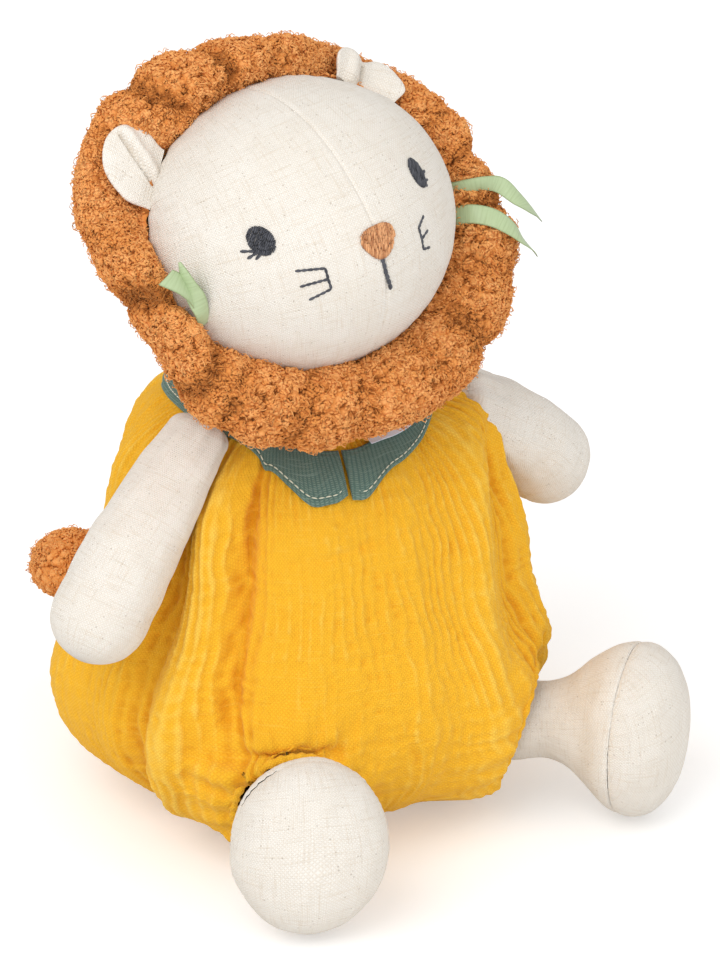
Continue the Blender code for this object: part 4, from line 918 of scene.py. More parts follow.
    def wrinkles(self, azimuth: Array, share: Array) -> Array:
        """Wrinkles of a cloth laid flat, in metres."""
        across = azimuth * self.girth
        along = share * self.height
        sway = (0.62 * flat_rough(across / 0.014, along / 0.024, 11)
                + 0.34 * flat_rough(across / 0.006, along / 0.009, 12))
        crest = 0.5 + 0.5 * np.sin(2.0 * np.pi * (across / 0.0039 + sway))
        strength = 0.40 + 0.60 * smooth_step(-0.5, 0.5, flat_rough(across / 0.012, along / 0.020, 13))
        front = hill(turn_between(np.degrees(azimuth), -106.0), 0.0, 26.0)
        upright = (crest ** 1.5 - 0.42) * strength * (1.0 - 0.25 * front)
        waver = 0.8 * flat_rough(across / 0.009, along / 0.008, 14)
        level = 0.5 + 0.5 * np.sin(2.0 * np.pi * (along / 0.0052 + waver))
        patches = 0.25 + 0.75 * smooth_step(-0.2, 0.6, flat_rough(across / 0.011, along / 0.009, 15))
        small = (flat_rough(across / 0.0020, along / 0.0030, 16)
                 + 0.8 * flat_rough(across / 0.0012, along / 0.0015, 17))
        return 0.00088 * upright + 0.00026 * (level ** 1.4 - 0.42) * patches + 0.00022 * small

    def cuffs(self, points: Array) -> tuple[Array, Array, Array]:
        """Draw the cloth along each leg to its hem and turn it in there.

        Args:
            points: Rows by columns by 3.

        Returns:
            The moved points, which of them stay, and how near each is to a hem.
        """
        moved = points.copy()
        keep = np.ones(points.shape[:2], bool)
        near = np.zeros(points.shape[:2])
        radius = self.hem_radius()
        for leg in LEGS.values():
            hip, heading = np.array(leg.hip), leg.heading()
            away = points - hip
            along = away @ heading
            across = away - heading * along[..., None]
            clear = np.linalg.norm(across, axis=-1)
            out = across / np.maximum(clear, 1e-9)[..., None]
            hem = self.hem_along + self.hem_slant * np.clip(out[..., 2], -1.0, 1.0)
            beside = np.abs(along) < self.cuff_reach * 2.0
            share = (1.0 - smooth_step(radius, radius + self.cuff_reach, clear)) * beside
            angle = np.arctan2(out[..., 2], out @ np.cross(heading, (0.0, 0.0, 1.0)))
            pleat = np.sin(13.0 * angle + 1.6 * np.sin(3.0 * angle)) + 0.5 * np.sin(7.0 * angle + 1.0)
            puff = hill(clear, radius + 0.0075, 0.0058) * beside
            puff_move = heading * (0.0012 + 0.0010 * pleat)[..., None] * puff[..., None]
            tighten = out * (0.0007 * pleat * hill(clear, radius + 0.002, 0.005) * beside)[..., None]
            moved = moved + heading * ((hem - along) * share)[..., None] + puff_move + tighten
            inside = (clear < radius) & beside
            depth = (radius - clear) * 1.7
            tunnel = hip + out * (radius + 0.0002 * pleat)[..., None] + heading * (hem - depth)[..., None]
            moved = np.where(inside[..., None], tunnel, moved)
            keep &= ~(beside & (clear < 0.52 * radius))
            near = np.maximum(near, share)
        return moved, keep, near

    def build(self, finishes: Finishes) -> None:
        """Make the front and back panels."""
        columns = 860
        rows = 320
        share_line = np.concatenate([np.linspace(-0.29, 0.0, 16)[:-1], np.linspace(0.0, 1.0, rows)])
        share, azimuth = np.meshgrid(share_line, circle(columns) - np.pi, indexing="ij")
        points = self.form(azimuth, share)
        points, keep, near = self.cuffs(points)
        normal = normals_of(points)
        outward = points - np.array((0.0, 0.0, 0.5 * self.height))
        normal *= np.sign((normal * outward).sum(axis=-1, keepdims=True))
        detail = self.crinkle(azimuth, share) * smooth_step(-0.02, 0.06, share)
        tuck = self.tucks(np.degrees(azimuth), share)
        points = points + normal * (detail * (1.0 - 0.3 * near) + tuck)[..., None]
        points[..., 2] = np.maximum(points[..., 2], 0.0)
        # A mark for the gauze's colour: painted shade in the crinkles' valleys and the folds' grooves, a painted
        # highlight on their ridges.
        painted_relief_light = 0.5 + detail / 0.0020
        for fold in self.folds:
            painted_relief_light = painted_relief_light + 50.0 * fold.push(np.degrees(azimuth), share)
        cloth = grid(azimuth * self.girth, share * self.height)
        marks = {"painted_relief_light": np.clip(painted_relief_light, 0.0, 1.0)}
        seam = self.crotch_forward * (points[..., 2] / self.height - 1.0)
        front = points[..., 1] < seam + 0.0012
        back = points[..., 1] > seam - 0.0012
        middle = np.array((0.0, 0.0, 0.5 * self.height))
        under = smooth_step(seam + 0.0030, seam, points[..., 1])
        lapped = points - normal * (0.0005 * under)[..., None]
        for name, part, place in (("romper_front", front, points), ("romper_back", back, lapped)):
            piece = skin(name + "_cloth", place, True, middle, cloth, marks, keep & part)
            finishes.dress(piece, "gauze", "torso", stands_for=(name, "torso_cover", "torso_filling"))
        for side, leg in LEGS.items():
            self.hem(side, leg, finishes)

    def hem(self, side: Side, leg: Leg, finishes: Finishes) -> None:
        """Make the rolled, gathered hem round one leg."""
        hip, heading = np.array(leg.hip), leg.heading()
        level = unit(np.cross(heading, (0.0, 0.0, 1.0)))
        high = np.cross(level, heading)
        turn = (circle(220))[:, None]
        around = (circle(16))[None, :]
        out = level * np.cos(turn)[..., None] + high * np.sin(turn)[..., None]
        along = self.hem_along + self.hem_slant * np.clip(out[..., 2], -1.0, 1.0)
        centre = hip + out * self.hem_radius() + heading * along[..., None]
        gather = 1.0 + 0.16 * np.sin(30.0 * turn + 2.0 * np.sin(4.0 * turn))
        size = (self.hem_roll * gather)[..., None]
        points = centre + out * (np.cos(around)[..., None] * size) + heading * (np.sin(around)[..., None] * size)
        points[..., 2] = np.maximum(points[..., 2], 0.0001)
        points = np.concatenate([points, points[:1]], axis=0)
        cloth = grid(np.linspace(0.0, 0.11, 221)[:, None], around * 0.0013)
        middle = np.broadcast_to(np.concatenate([centre, centre[:1]], axis=0), points.shape)
        # Painted shade and highlight across the hem's gathers.
        painted_relief_light = np.broadcast_to(np.concatenate([gather, gather[:1]], axis=0) - 0.5, points.shape[:2])
        piece = skin("leg_hem_" + side.value + "_roll", points, True, middle, cloth, {"painted_relief_light": painted_relief_light},
                     None, (False, False))
        finishes.dress(piece, "gauze", "torso", stands_for=("leg_hem_" + side.value,))

    def tucks(self, degrees: Array, share: Array) -> Array:
        """Creases that run across the front, in metres."""
        total = np.zeros_like(share)
        for centre, reach, course, width, depth in (
            (-120.0, 14.0, ((-136.0, 0.320), (-120.0, 0.348), (-104.0, 0.340)), 0.016, -0.0036),
            (-122.0, 15.0, ((-138.0, 0.278), (-120.0, 0.302), (-104.0, 0.298)), 0.020, 0.0040),
            (-100.0, 20.0, ((-122.0, 0.745), (-100.0, 0.772), (-78.0, 0.792)), 0.010, -0.0008),
        ):
            line = through(course, np.clip(degrees, course[0][0], course[-1][0]))
            along = hill(turn_between(degrees, centre), 0.0, reach)
            total = total + depth * hill(share, line, width) * along
        return total


# Head and mane

@dataclass
class Head:
    """The head: linen face panels with a centre seam, and the teddy back."""

    place: tuple[float, float, float] = (-0.0125, -0.0190, 0.1888)
    half: tuple[float, float, float] = (0.0490, 0.0460, 0.0430)
    tip_degrees: tuple[float, float, float] = (-17.3, -9.0, 8.5)
    seam_forward: float = 0.0065
    seam_lean: float = 0.28
    muzzle_rise: float = 0.0024
    muzzle_down: float = 0.0060
    muzzle_half: tuple[float, float] = (0.0160, 0.0180)

    def turn(self) -> Array:
        """The head's axes as a 3 by 3 array: x to its left, y to its back, z to its top."""
        return np.array(Euler([math.radians(angle) for angle in self.tip_degrees], "XYZ").to_matrix())

    def world(self, points: Array) -> Array:
        """Carry points of the head's frame into the object's."""
        return points @ self.turn().T + np.array(self.place)

    def muzzle(self, lateral: Array, upward: Array) -> Array:
        """How far the muzzle stands out of the round face."""
        return self.muzzle_rise * hill(lateral, 0.0, self.muzzle_half[0]) * hill(
            upward, -self.muzzle_down, self.muzzle_half[1])

    def shell(self, tilt: Array, sweep: Array, proud: float | Array = 0.0) -> Array:
        """Points of the head at an angle from the nose and a sweep from its left, in its frame."""
        half = np.array(self.half)
        x = half[0] * np.sin(tilt) * np.cos(sweep)
        y = -half[1] * np.cos(tilt)
        z = half[2] * np.sin(tilt) * np.sin(sweep)
        points = grid(x, y, z)
        swell = self.muzzle(points[..., 0], points[..., 2]) * (points[..., 1] < 0.0)
        return points + unit(points / half ** 2) * (swell + proud)[..., None]

    def angles(self, lateral: Array, upward: Array) -> tuple[Array, Array]:
        """Tilt and sweep of a lateral and upward place on the face."""
        width, height = np.asarray(lateral) / self.half[0], np.asarray(upward) / self.half[2]
        return np.arcsin(np.clip(np.hypot(width, height), 0.0, 0.999)), np.arctan2(height, width)

    def on_face(self, lateral: Array, upward: Array, proud: float | Array = 0.0) -> Array:
        """Points of the face at lateral and upward places, in the object's frame."""
        return self.world(self.shell(*self.angles(lateral, upward), proud))

    def seam_tilt(self, sweep: Array) -> Array:
        """Angle from the nose to the face seam, which leans back at the top."""
        rise = self.seam_lean * self.half[2] * np.sin(sweep)
        reach = np.hypot(self.half[1], rise)
        return np.arctan2(rise, self.half[1]) + np.arccos(self.seam_forward / reach)

    def seam(self, sweep: Array) -> Array:
        """Points of the face seam, in the head's frame."""
        return self.shell(self.seam_tilt(sweep), sweep)

    def seam_directions(self, sweep: Array) -> tuple[Array, Array, Array]:
        """Outward in the seam's plane, along the seam and forward off its plane."""
        lean = self.seam_lean
        outward = np.stack([np.cos(sweep), lean * np.sin(sweep), np.sin(sweep)], axis=-1)
        along = np.stack([-np.sin(sweep), lean * np.cos(sweep), np.cos(sweep)], axis=-1)
        forward = np.broadcast_to(np.array((0.0, -1.0, lean)), outward.shape)
        return unit(outward), unit(along), unit(forward)

    def build(self, finishes: Finishes) -> None:
        """Make both face panels and the back."""
        for side in Side:
            self.panel(side, finishes)
        self.back(finishes)

    def panel(self, side: Side, finishes: Finishes) -> None:
        """Make one face panel, drawn in at the centre seam and gathered at the mane."""
        sweep = np.radians(np.linspace(-90.0, 90.0, 200))
        sweep = sweep if side is Side.LEFT else np.pi - sweep
        share = np.linspace(0.004, 1.0, 170)
        tilt = share[:, None] * self.seam_tilt(sweep)[None, :]
        angle = np.broadcast_to(sweep[None, :], tilt.shape)
        flat = self.shell(tilt, angle)
        aside = np.abs(flat[..., 0])
        along = flat[..., 2]
        wander = flat_rough(along / 0.010, 0.0 * along, 31)
        pucker = 0.00007 * np.sin(2.0 * np.pi * along / 0.0036 + 3.0 * wander)
        seam = -0.00040 * hill(aside, 0.0, 0.00045) + 0.00006 * hill(aside, 0.0012, 0.0008)
        edge = (1.0 - share[:, None]) * 0.055
        gather = 0.00022 * np.sin(40.0 * angle + 3.0 * np.sin(5.0 * angle)) * np.exp(-edge / 0.0050)
        tuck = -0.0009 * np.exp(-edge / 0.0015)
        dimple = 0.00035 * rough(flat / 0.016, 32) + 0.00010 * rough(flat / 0.005, 34)
        proud = seam + pucker * hill(aside, 0.0016, 0.0016) + gather + tuck
        proud = proud + dimple * smooth_step(0.001, 0.012, aside)
        points = self.world(self.shell(tilt, angle, proud))
        reach = tilt * self.half[1]
        cloth = np.stack([reach * np.cos(angle), reach * np.sin(angle)], axis=-1)
        piece = skin("face_" + side.value + "_panel", points, False, np.array(self.place), cloth)
        finishes.dress(piece, "linen", "head", stands_for=("face_" + side.value,))

    def back(self, finishes: Finishes) -> None:
        """Make the curly back of the head."""
        sweep = circle(300) - np.pi
        start = self.seam_tilt(sweep) - 0.02
        share = np.linspace(0.0, 0.996, 190)
        tilt = start[None, :] + (math.pi - start)[None, :] * share[:, None]
        angle = np.broadcast_to(sweep[None, :], tilt.shape)
        height, tone = bobbles(self.world(self.shell(tilt, angle)))
        points = self.world(self.shell(tilt, angle, BOBBLE_LIFT * height - 0.0010))
        # The bobbles' height marks painted shade in their gaps and a painted highlight on their tops.
        piece = skin("head_back_pile", points, True, np.array(self.place), None,
                     {"tip": height, "tone": tone}, None, (False, True))
        finishes.dress(piece, "teddy", "head", stands_for=("head_back", "head_filling"))
        chance = np.random.default_rng(41)
        count = 12000
        tilt_at = np.arccos(chance.uniform(-1.0, 0.35, count))
        sweep_at = chance.uniform(-np.pi, np.pi, count)
        chosen = tilt_at > self.seam_tilt(sweep_at)
        tilt_at, sweep_at = tilt_at[chosen], sweep_at[chosen]
        inner = self.world(self.shell(tilt_at, sweep_at, 0.0))
        outer = self.world(self.shell(tilt_at, sweep_at, 0.0010))
        clear = np.linalg.norm(inner - np.array(NECK_POINT), axis=1) > 0.0175
        curls = pile_curls("head_back_curls", inner[clear], unit(outer - inner)[clear], 42)
        finishes.dress(curls, "teddy", "head")


@dataclass
class Mane:
    """The mane: a gathered teddy sleeve with creases, covered in curls."""

    head: Head
    radial: float = 0.0115
    axial: float = 0.0115
    set_back: float = 0.0010
    open_share: float = 0.965
    swell: Stations = (
        (-180.0, 0.46), (-170.0, 0.40), (-162.0, 0.44), (-150.0, 0.74), (-135.0, 0.86), (-120.0, 0.92),
        (-90.0, 0.98), (-60.0, 1.08), (-45.0, 1.03), (-30.0, 0.94), (-16.0, 0.78), (-5.0, 0.58), (8.0, 0.62),
        (20.0, 0.66), (32.0, 0.57), (60.0, 0.52), (75.0, 0.56), (90.0, 0.62), (104.0, 0.80), (120.0, 0.94),
        (138.0, 0.86), (150.0, 0.74), (166.0, 0.60), (180.0, 0.46),
    )
    creases: tuple[tuple[float, float, float], ...] = (
        (114.0, 3.4, 1.2), (97.0, 3.0, 1.6), (79.0, 3.0, 0.6), (131.0, 4.0, 0.35), (158.0, 4.0, 0.5),
        (181.0, 5.0, 1.6), (208.0, 4.2, 1.3), (223.0, 4.0, 0.7), (243.0, 4.0, 0.8), (262.0, 4.0, 0.5),
        (283.0, 4.0, 0.5), (305.0, 4.4, 1.0), (322.0, 4.0, 0.6), (340.0, 4.0, 1.0), (358.0, 4.0, 1.0),
        (13.0, 4.0, 0.6), (24.0, 3.4, 0.4),
    )

    def full(self, sweep: Array) -> Array:
        """Half the sleeve's thickness at each sweep angle."""
        return self.radial * through(self.swell, turn_between(np.degrees(sweep), 0.0))

    def ear(self, sweep: Array) -> Array:
        """How much the sleeve makes room for an ear."""
        degrees = np.degrees(sweep)
        return 0.90 * hill(turn_between(degrees, 141.0), 0.0, 20.0) + hill(turn_between(degrees, 42.0), 0.0, 23.0)

    def middle(self, sweep: Array) -> Array:
        """The sleeve's middle line, in the head's frame."""
        outward, _, forward = self.head.seam_directions(sweep)
        back = self.set_back + 0.0078 * self.ear(sweep)
        return self.head.seam(sweep) + outward * (self.full(sweep) * 0.90)[..., None] - forward * back[..., None]

    def crease(self, sweep: Array, around: Array) -> Array:
        """How deep a gather draws the sleeve in, 0 to about 1."""
        total = np.zeros_like(sweep)
        for place, width, depth in self.creases:
            course = place + 3.0 * np.sin(around * 1.1 + place)
            total = total + depth * hill(turn_between(np.degrees(sweep), course), 0.0, width)
        front = 0.45 + 0.55 * smooth_step(-0.7, 0.7, np.sin(around) + 0.7 * np.cos(around))
        inner = 1.0 - 0.7 * smooth_step(0.62, 0.94, np.abs(around) / np.pi)
        return np.minimum(total, 1.5) * front * inner * 0.66

    def surface(self, sweep: Array, around: Array, lift: float | Array = 0.0) -> Array:
        """Points of the sleeve, in the object's frame.

        Args:
            sweep: Angle round the face from the head's left.
            around: Angle round the sleeve, 0 outward and growing towards the front.
            lift: How far off the cloth.

        Returns:
            The points.
        """
        outward, _, forward = self.head.seam_directions(sweep)
        full = self.full(sweep)
        lump = rough(np.stack([np.cos(sweep) * 4.4, np.sin(sweep) * 4.4, around * 1.1], axis=-1), 51)
        sink = 0.0040 * self.crease(sweep, around)
        radial = full - sink + 0.0011 * lump + lift
        ahead = np.sin(around)
        axial = self.axial * np.where(ahead > 0.0, 1.0 - 0.84 * self.ear(sweep), 1.0)
        axial = axial - 1.1 * sink + 0.0009 * lump + lift
        return self.head.world(self.middle(sweep) + outward * (radial * np.cos(around))[..., None]
                               + forward * (axial * ahead)[..., None])

    def build(self, finishes: Finishes) -> None:
        """Make the sleeve and its curls."""
        columns = 1240
        rows = 150
        limit = self.open_share * np.pi
        around, sweep = np.meshgrid(np.linspace(-limit, limit, rows),
                                    circle(columns) - np.pi, indexing="ij")
        points = self.surface(sweep, around)
        middle = self.head.world(self.middle(sweep))
        height, tone = bobbles(points)
        points = points + unit(points - middle) * (BOBBLE_LIFT * height - 0.0008)[..., None]
        # Painted shade in the bobbles' gaps and in the creases, and a painted highlight on the bobbles' tops.
        tip = np.clip(height - 0.85 * self.crease(sweep, around), 0.0, 1.0)
        sleeve = skin("mane_sleeve", points, True, middle, None, {"tip": tip, "tone": tone})
        finishes.dress(sleeve, "teddy", "head", stands_for=("mane_cover", "mane_filling"))
        chance = np.random.default_rng(54)
        count = 60000
        sweep_at = chance.uniform(-np.pi, np.pi, count)
        around_at = chance.uniform(-limit, limit, count)
        root = self.surface(sweep_at, around_at)
        reach = np.linalg.norm(root - np.array(self.head.place), axis=1) / 0.055
        sparse = np.where(around_at < -0.45 * np.pi, 0.7, 1.0)
        chosen = chance.uniform(0.0, 1.0, count) < 0.62 * sparse * reach
        sweep_at, root = sweep_at[chosen], root[chosen]
        out = unit(root - self.head.world(self.middle(sweep_at)))
        # The creases also darken the curls as painted shade.
        shade = self.crease(sweep_at, around_at[chosen])
        third = np.minimum((sweep_at + np.pi) / (2.0 * np.pi / 3.0), 2.9).astype(int)
        for index, label in enumerate(("lower", "left", "upper")):
            part = third == index
            curls = pile_curls("mane_curls_" + label, root[part], out[part], 56 + index, shade[part])
            finishes.dress(curls, "teddy", "head")


# Ears

@dataclass
class Ear:
    """A small linen ear, folded on itself and pinched into the face seam."""

    side: Side
    head: Head
    sweep_degrees: float
    lean_degrees: float
    half_width: float
    length: float
    fold_at: float
    fold_turn: float
    curl: float
    roll: float
    notch: float
    shear: float

    def build(self, finishes: Finishes) -> None:
        """Make the ear as one soft closed form with its crease."""
        sweep = np.array(math.radians(self.sweep_degrees))
        outward, along, forward = self.head.seam_directions(sweep)
        lean = math.radians(self.lean_degrees)
        rising = outward * math.cos(lean) - forward * math.sin(lean)
        facing = forward * math.cos(lean) + outward * math.sin(lean)
        base = self.head.seam(sweep) - outward * 0.0010 + forward * 0.0006
        rows, columns = 110, 150
        rise = np.linspace(0.0, 1.0, rows)[:, None]
        angle = (circle(columns))[None, :]
        across, front = np.cos(angle), np.sin(angle)
        width = self.half_width * np.sqrt(np.maximum(0.0, 1.0 - np.maximum(0.0, rise - 0.22) ** 2.3 * 1.77))
        width = width * (0.80 + 0.20 * smooth_step(0.0, 0.5, rise))
        thick = 0.0026 * np.sqrt(np.maximum(0.0, 1.0 - rise ** 3)) * (0.55 + 0.45 * smooth_step(0.0, 0.3, rise))
        wide = width * np.sign(across) * np.abs(across) ** 0.8
        deep = thick * np.sign(front) * np.abs(front) ** 0.9
        cup = self.curl * ((wide / self.half_width) ** 2 - 0.4) * (1.0 - 0.35 * rise)
        line = self.fold_at + self.fold_turn * (rise - 0.5)
        tall = self.length * (1.0 - self.notch * hill(wide / self.half_width, 0.22, 0.30))
        away = (wide / self.half_width) - line
        groove = hill(away, 0.0, 0.055) * smooth_step(-0.05, 0.12, rise) * (1.0 - smooth_step(0.74, 0.90, rise))
        roll = (hill(away, 0.26 * self.roll, 0.20) * smooth_step(-0.1, 0.1, rise)
                * (1.0 - smooth_step(0.86, 1.0, rise)))
        wrinkle = hill(rise, 0.42 + 0.30 * wide / self.half_width, 0.045) * hill(away, -0.70 * self.roll, 0.30)
        deep = deep + cup + (front > 0.0) * front * (-0.0026 * groove + 0.0022 * roll - 0.0006 * wrinkle)
        deep = deep - (front <= 0.0) * 0.0004 * groove
        points = (base + along * (wide + self.shear * rise)[..., None] + rising * (tall * rise)[..., None]
                  + facing * deep[..., None])
        points = self.head.world(points)
        points = points + 0.0002 * rough(points / 0.004, 81 + int(self.sweep_degrees))[..., None]
        cloth = grid(wide, self.length * rise)
        axis = np.broadcast_to(self.head.world(
            base + rising * (self.length * np.clip(rise, 0.1, 0.85))[..., None] + facing * cup[..., None]
            + along * (wide * 0.8 + self.shear * rise)[..., None]), points.shape)
        name = "ear_" + self.side.value
        piece = skin(name + "_linen", points, True, axis, cloth, caps=(True, True))
        finishes.dress(piece, "linen", name, stands_for=(name + "_front", name + "_back"))


# Face embroidery

@dataclass
class Embroidery:
    """Stitches on the face: filled eyes and nose, and lines for mouth, lashes and whiskers."""

    head: Head
    pitch: float = 0.00042

    def satin(self, name: str, outline: Array, slope: float, proud: float, finish: str,
              node: str, finishes: Finishes, seed: int) -> None:
        """Fill a closed outline with rows of thread.

        Args:
            name: The piece's name.
            outline: Points of the edge as lateral and upward places.
            slope: Angle of the threads in radians.
            proud: How far the threads' middles stand off the cloth.
            finish: Key of the thread's material.
            node: The CAD node that it replaces.
            finishes: The materials.
            seed: Which random set to use.
        """
        chance = np.random.default_rng(seed)
        run = np.array((math.cos(slope), math.sin(slope)))
        side = np.array((-run[1], run[0]))
        across = outline @ side
        paths, radii, tones = [], [], []
        for layer, turn in ((0, 0.0), (1, 0.22)):
            for level in np.arange(across.min() + 0.0001, across.max() - 0.0001, self.pitch * (0.8 + 0.3 * layer)):
                level = level + chance.uniform(-0.00006, 0.00006)
                closed = np.vstack([outline, outline[:1]])
                high = closed @ side - level
                ends = []
                for index in np.nonzero(high[:-1] * high[1:] < 0.0)[0]:
                    share = high[index] / (high[index] - high[index + 1])
                    ends.append((closed[index] * (1 - share) + closed[index + 1] * share) @ run)
                if len(ends) < 2:
                    continue
                low, top = min(ends), max(ends)
                low, top = low - chance.uniform(0.0, 0.00016), top + chance.uniform(0.0, 0.00016)
                cuts = [low]
                while top - cuts[-1] > 0.0042:
                    cuts.append(cuts[-1] + chance.uniform(0.0018, 0.0034))
                cuts.append(top)
                for start, end in zip(cuts, cuts[1:]):
                    along = np.linspace(start, end, 7)
                    drift = turn * 0.0003 * np.linspace(-1.0, 1.0, 7)
                    flat = run * along[:, None] + side * (level + drift)[:, None]
                    arch = np.sin(np.linspace(0.08, 0.92, 7) * np.pi)
                    lift = proud + 0.00018 * layer + 0.00030 * arch - 0.00022
                    paths.append(self.head.on_face(flat[:, 0], flat[:, 1], lift))
                    radii.append(0.00023 * (0.55 + 0.45 * arch) * chance.uniform(0.85, 1.15))
                    # A random tone for each stitch, with a painted highlight on its crown.
                    tones.append(np.full(7, chance.uniform(0.0, 1.0)) * 0.7 + 0.3 * arch)
        piece = tubes(name, np.array(paths), np.array(radii), 6, {"tone": np.array(tones)})
        finishes.dress(piece, finish, "head", stands_for=(node,))

    def strokes(self, name: str, lines: list[list[tuple[float, float]]], radius: float, finish: str,
                node: str, finishes: Finishes, seed: int) -> None:
        """Sew lines of short stitches.

        Args:
            name: The piece's name.
            lines: Each line as lateral and upward places.
            radius: The thread's radius.
            finish: Key of the thread's material.
            node: The CAD node that it replaces, or nothing.
            finishes: The materials.
            seed: Which random set to use.
        """
        chance = np.random.default_rng(seed)
        paths, radii, tones = [], [], []
        for line in lines:
            places = np.array(line)
            lengths = run_lengths(places)
            count = max(1, round(lengths[-1] / 0.0016))
            for index in range(count):
                for strand in (-1.0, 1.0):
                    share = np.linspace(index - 0.12, index + 1.12, 7) / count * lengths[-1]
                    share = np.clip(share, 0.0, lengths[-1])
                    x = np.interp(share, lengths, places[:, 0])
                    z = np.interp(share, lengths, places[:, 1])
                    run = unit(np.array((places[-1] - places[0])))
                    aside = strand * radius * 0.55 * np.sin(np.linspace(0.0, 1.0, 7) * np.pi)
                    arch = np.sin(np.linspace(0.06, 0.94, 7) * np.pi)
                    lift = 0.00025 + 0.00022 * arch - 0.00020 + chance.uniform(0.0, 0.00006)
                    paths.append(self.head.on_face(x - run[1] * aside, z + run[0] * aside, lift))
                    radii.append(radius * (0.6 + 0.4 * arch))
                    # A random tone for each stitch, with a painted highlight on its crown.
                    tones.append(np.full(7, chance.uniform(0.0, 0.7)) + 0.3 * arch)
        piece = tubes(name, np.array(paths), np.array(radii), 6, {"tone": np.array(tones)})
        finishes.dress(piece, finish, "head", stands_for=(node,) if node else ())

    def build(self, finishes: Finishes) -> None:
        """Sew everything on the face."""
        angle = np.linspace(0.0, 2.0 * np.pi, 64, endpoint=False)
        for side, x, z, wide, tall, tilt in (
            (Side.RIGHT, -0.0288, 0.0088, 0.0030, 0.0042, 0.10), (Side.LEFT, 0.0226, 0.0092, 0.0024, 0.0044, 0.12),
        ):
            across, up = wide * np.cos(angle), tall * np.sin(angle)
            outline = np.stack([x + across * math.cos(tilt) - up * math.sin(tilt),
                                z + across * math.sin(tilt) + up * math.cos(tilt)], axis=-1)
            name = "eye_" + side.value
            self.satin(name + "_stitches", outline, 0.9, 0.00030, "dark_thread", name, finishes, 91)
        right = [[(-0.0309, 0.0066), (-0.0340, 0.0076)], [(-0.0306, 0.0062), (-0.0332, 0.0052)],
                 [(-0.0300, 0.0056), (-0.0316, 0.0044)]]
        left = [[(0.0236, 0.0076), (0.0262, 0.0086)], [(0.0236, 0.0062), (0.0259, 0.0060)],
                [(0.0232, 0.0054), (0.0247, 0.0046)]]
        self.strokes("lashes_right", right, 0.00030, "dark_thread", "", finishes, 92)
        self.strokes("lashes_left", left, 0.00030, "dark_thread", "", finishes, 93)
        swell = 1.0 + 0.10 * np.cos(3.0 * angle + 1.5 * np.pi)
        nose = np.stack([0.0052 * np.cos(angle) * swell - 0.0001, 0.0045 * np.sin(angle) * swell - 0.0016], axis=-1)
        self.satin("nose_stitches", nose, 1.25, 0.00045, "copper_thread", "nose", finishes, 94)
        mouth = [[(-0.0007, -0.0062), (-0.0003, -0.0108), (0.0010, -0.0162)]]
        self.strokes("mouth_stitches", mouth, 0.00042, "dark_thread", "mouth_stitch", finishes, 95)
        right = [[(-0.0238, -0.0018), (-0.0164, -0.0036)], [(-0.0236, -0.0065), (-0.0163, -0.0068)],
                 [(-0.0220, -0.0110), (-0.0160, -0.0098)], [(-0.0164, -0.0036), (-0.0163, -0.0068)],
                 [(-0.0163, -0.0068), (-0.0160, -0.0098)]]
        left = [[(0.0184, -0.0018), (0.0148, -0.0040)], [(0.0187, -0.0062), (0.0150, -0.0074)],
                [(0.0183, -0.0112), (0.0150, -0.0104)], [(0.0148, -0.0040), (0.0150, -0.0074)],
                [(0.0150, -0.0074), (0.0150, -0.0104)]]
        self.strokes("whiskers_right_stitches", right, 0.00028, "dark_thread", "whiskers_right", finishes, 96)
        self.strokes("whiskers_left_stitches", left, 0.00028, "dark_thread", "whiskers_left", finishes, 97)


# Trims

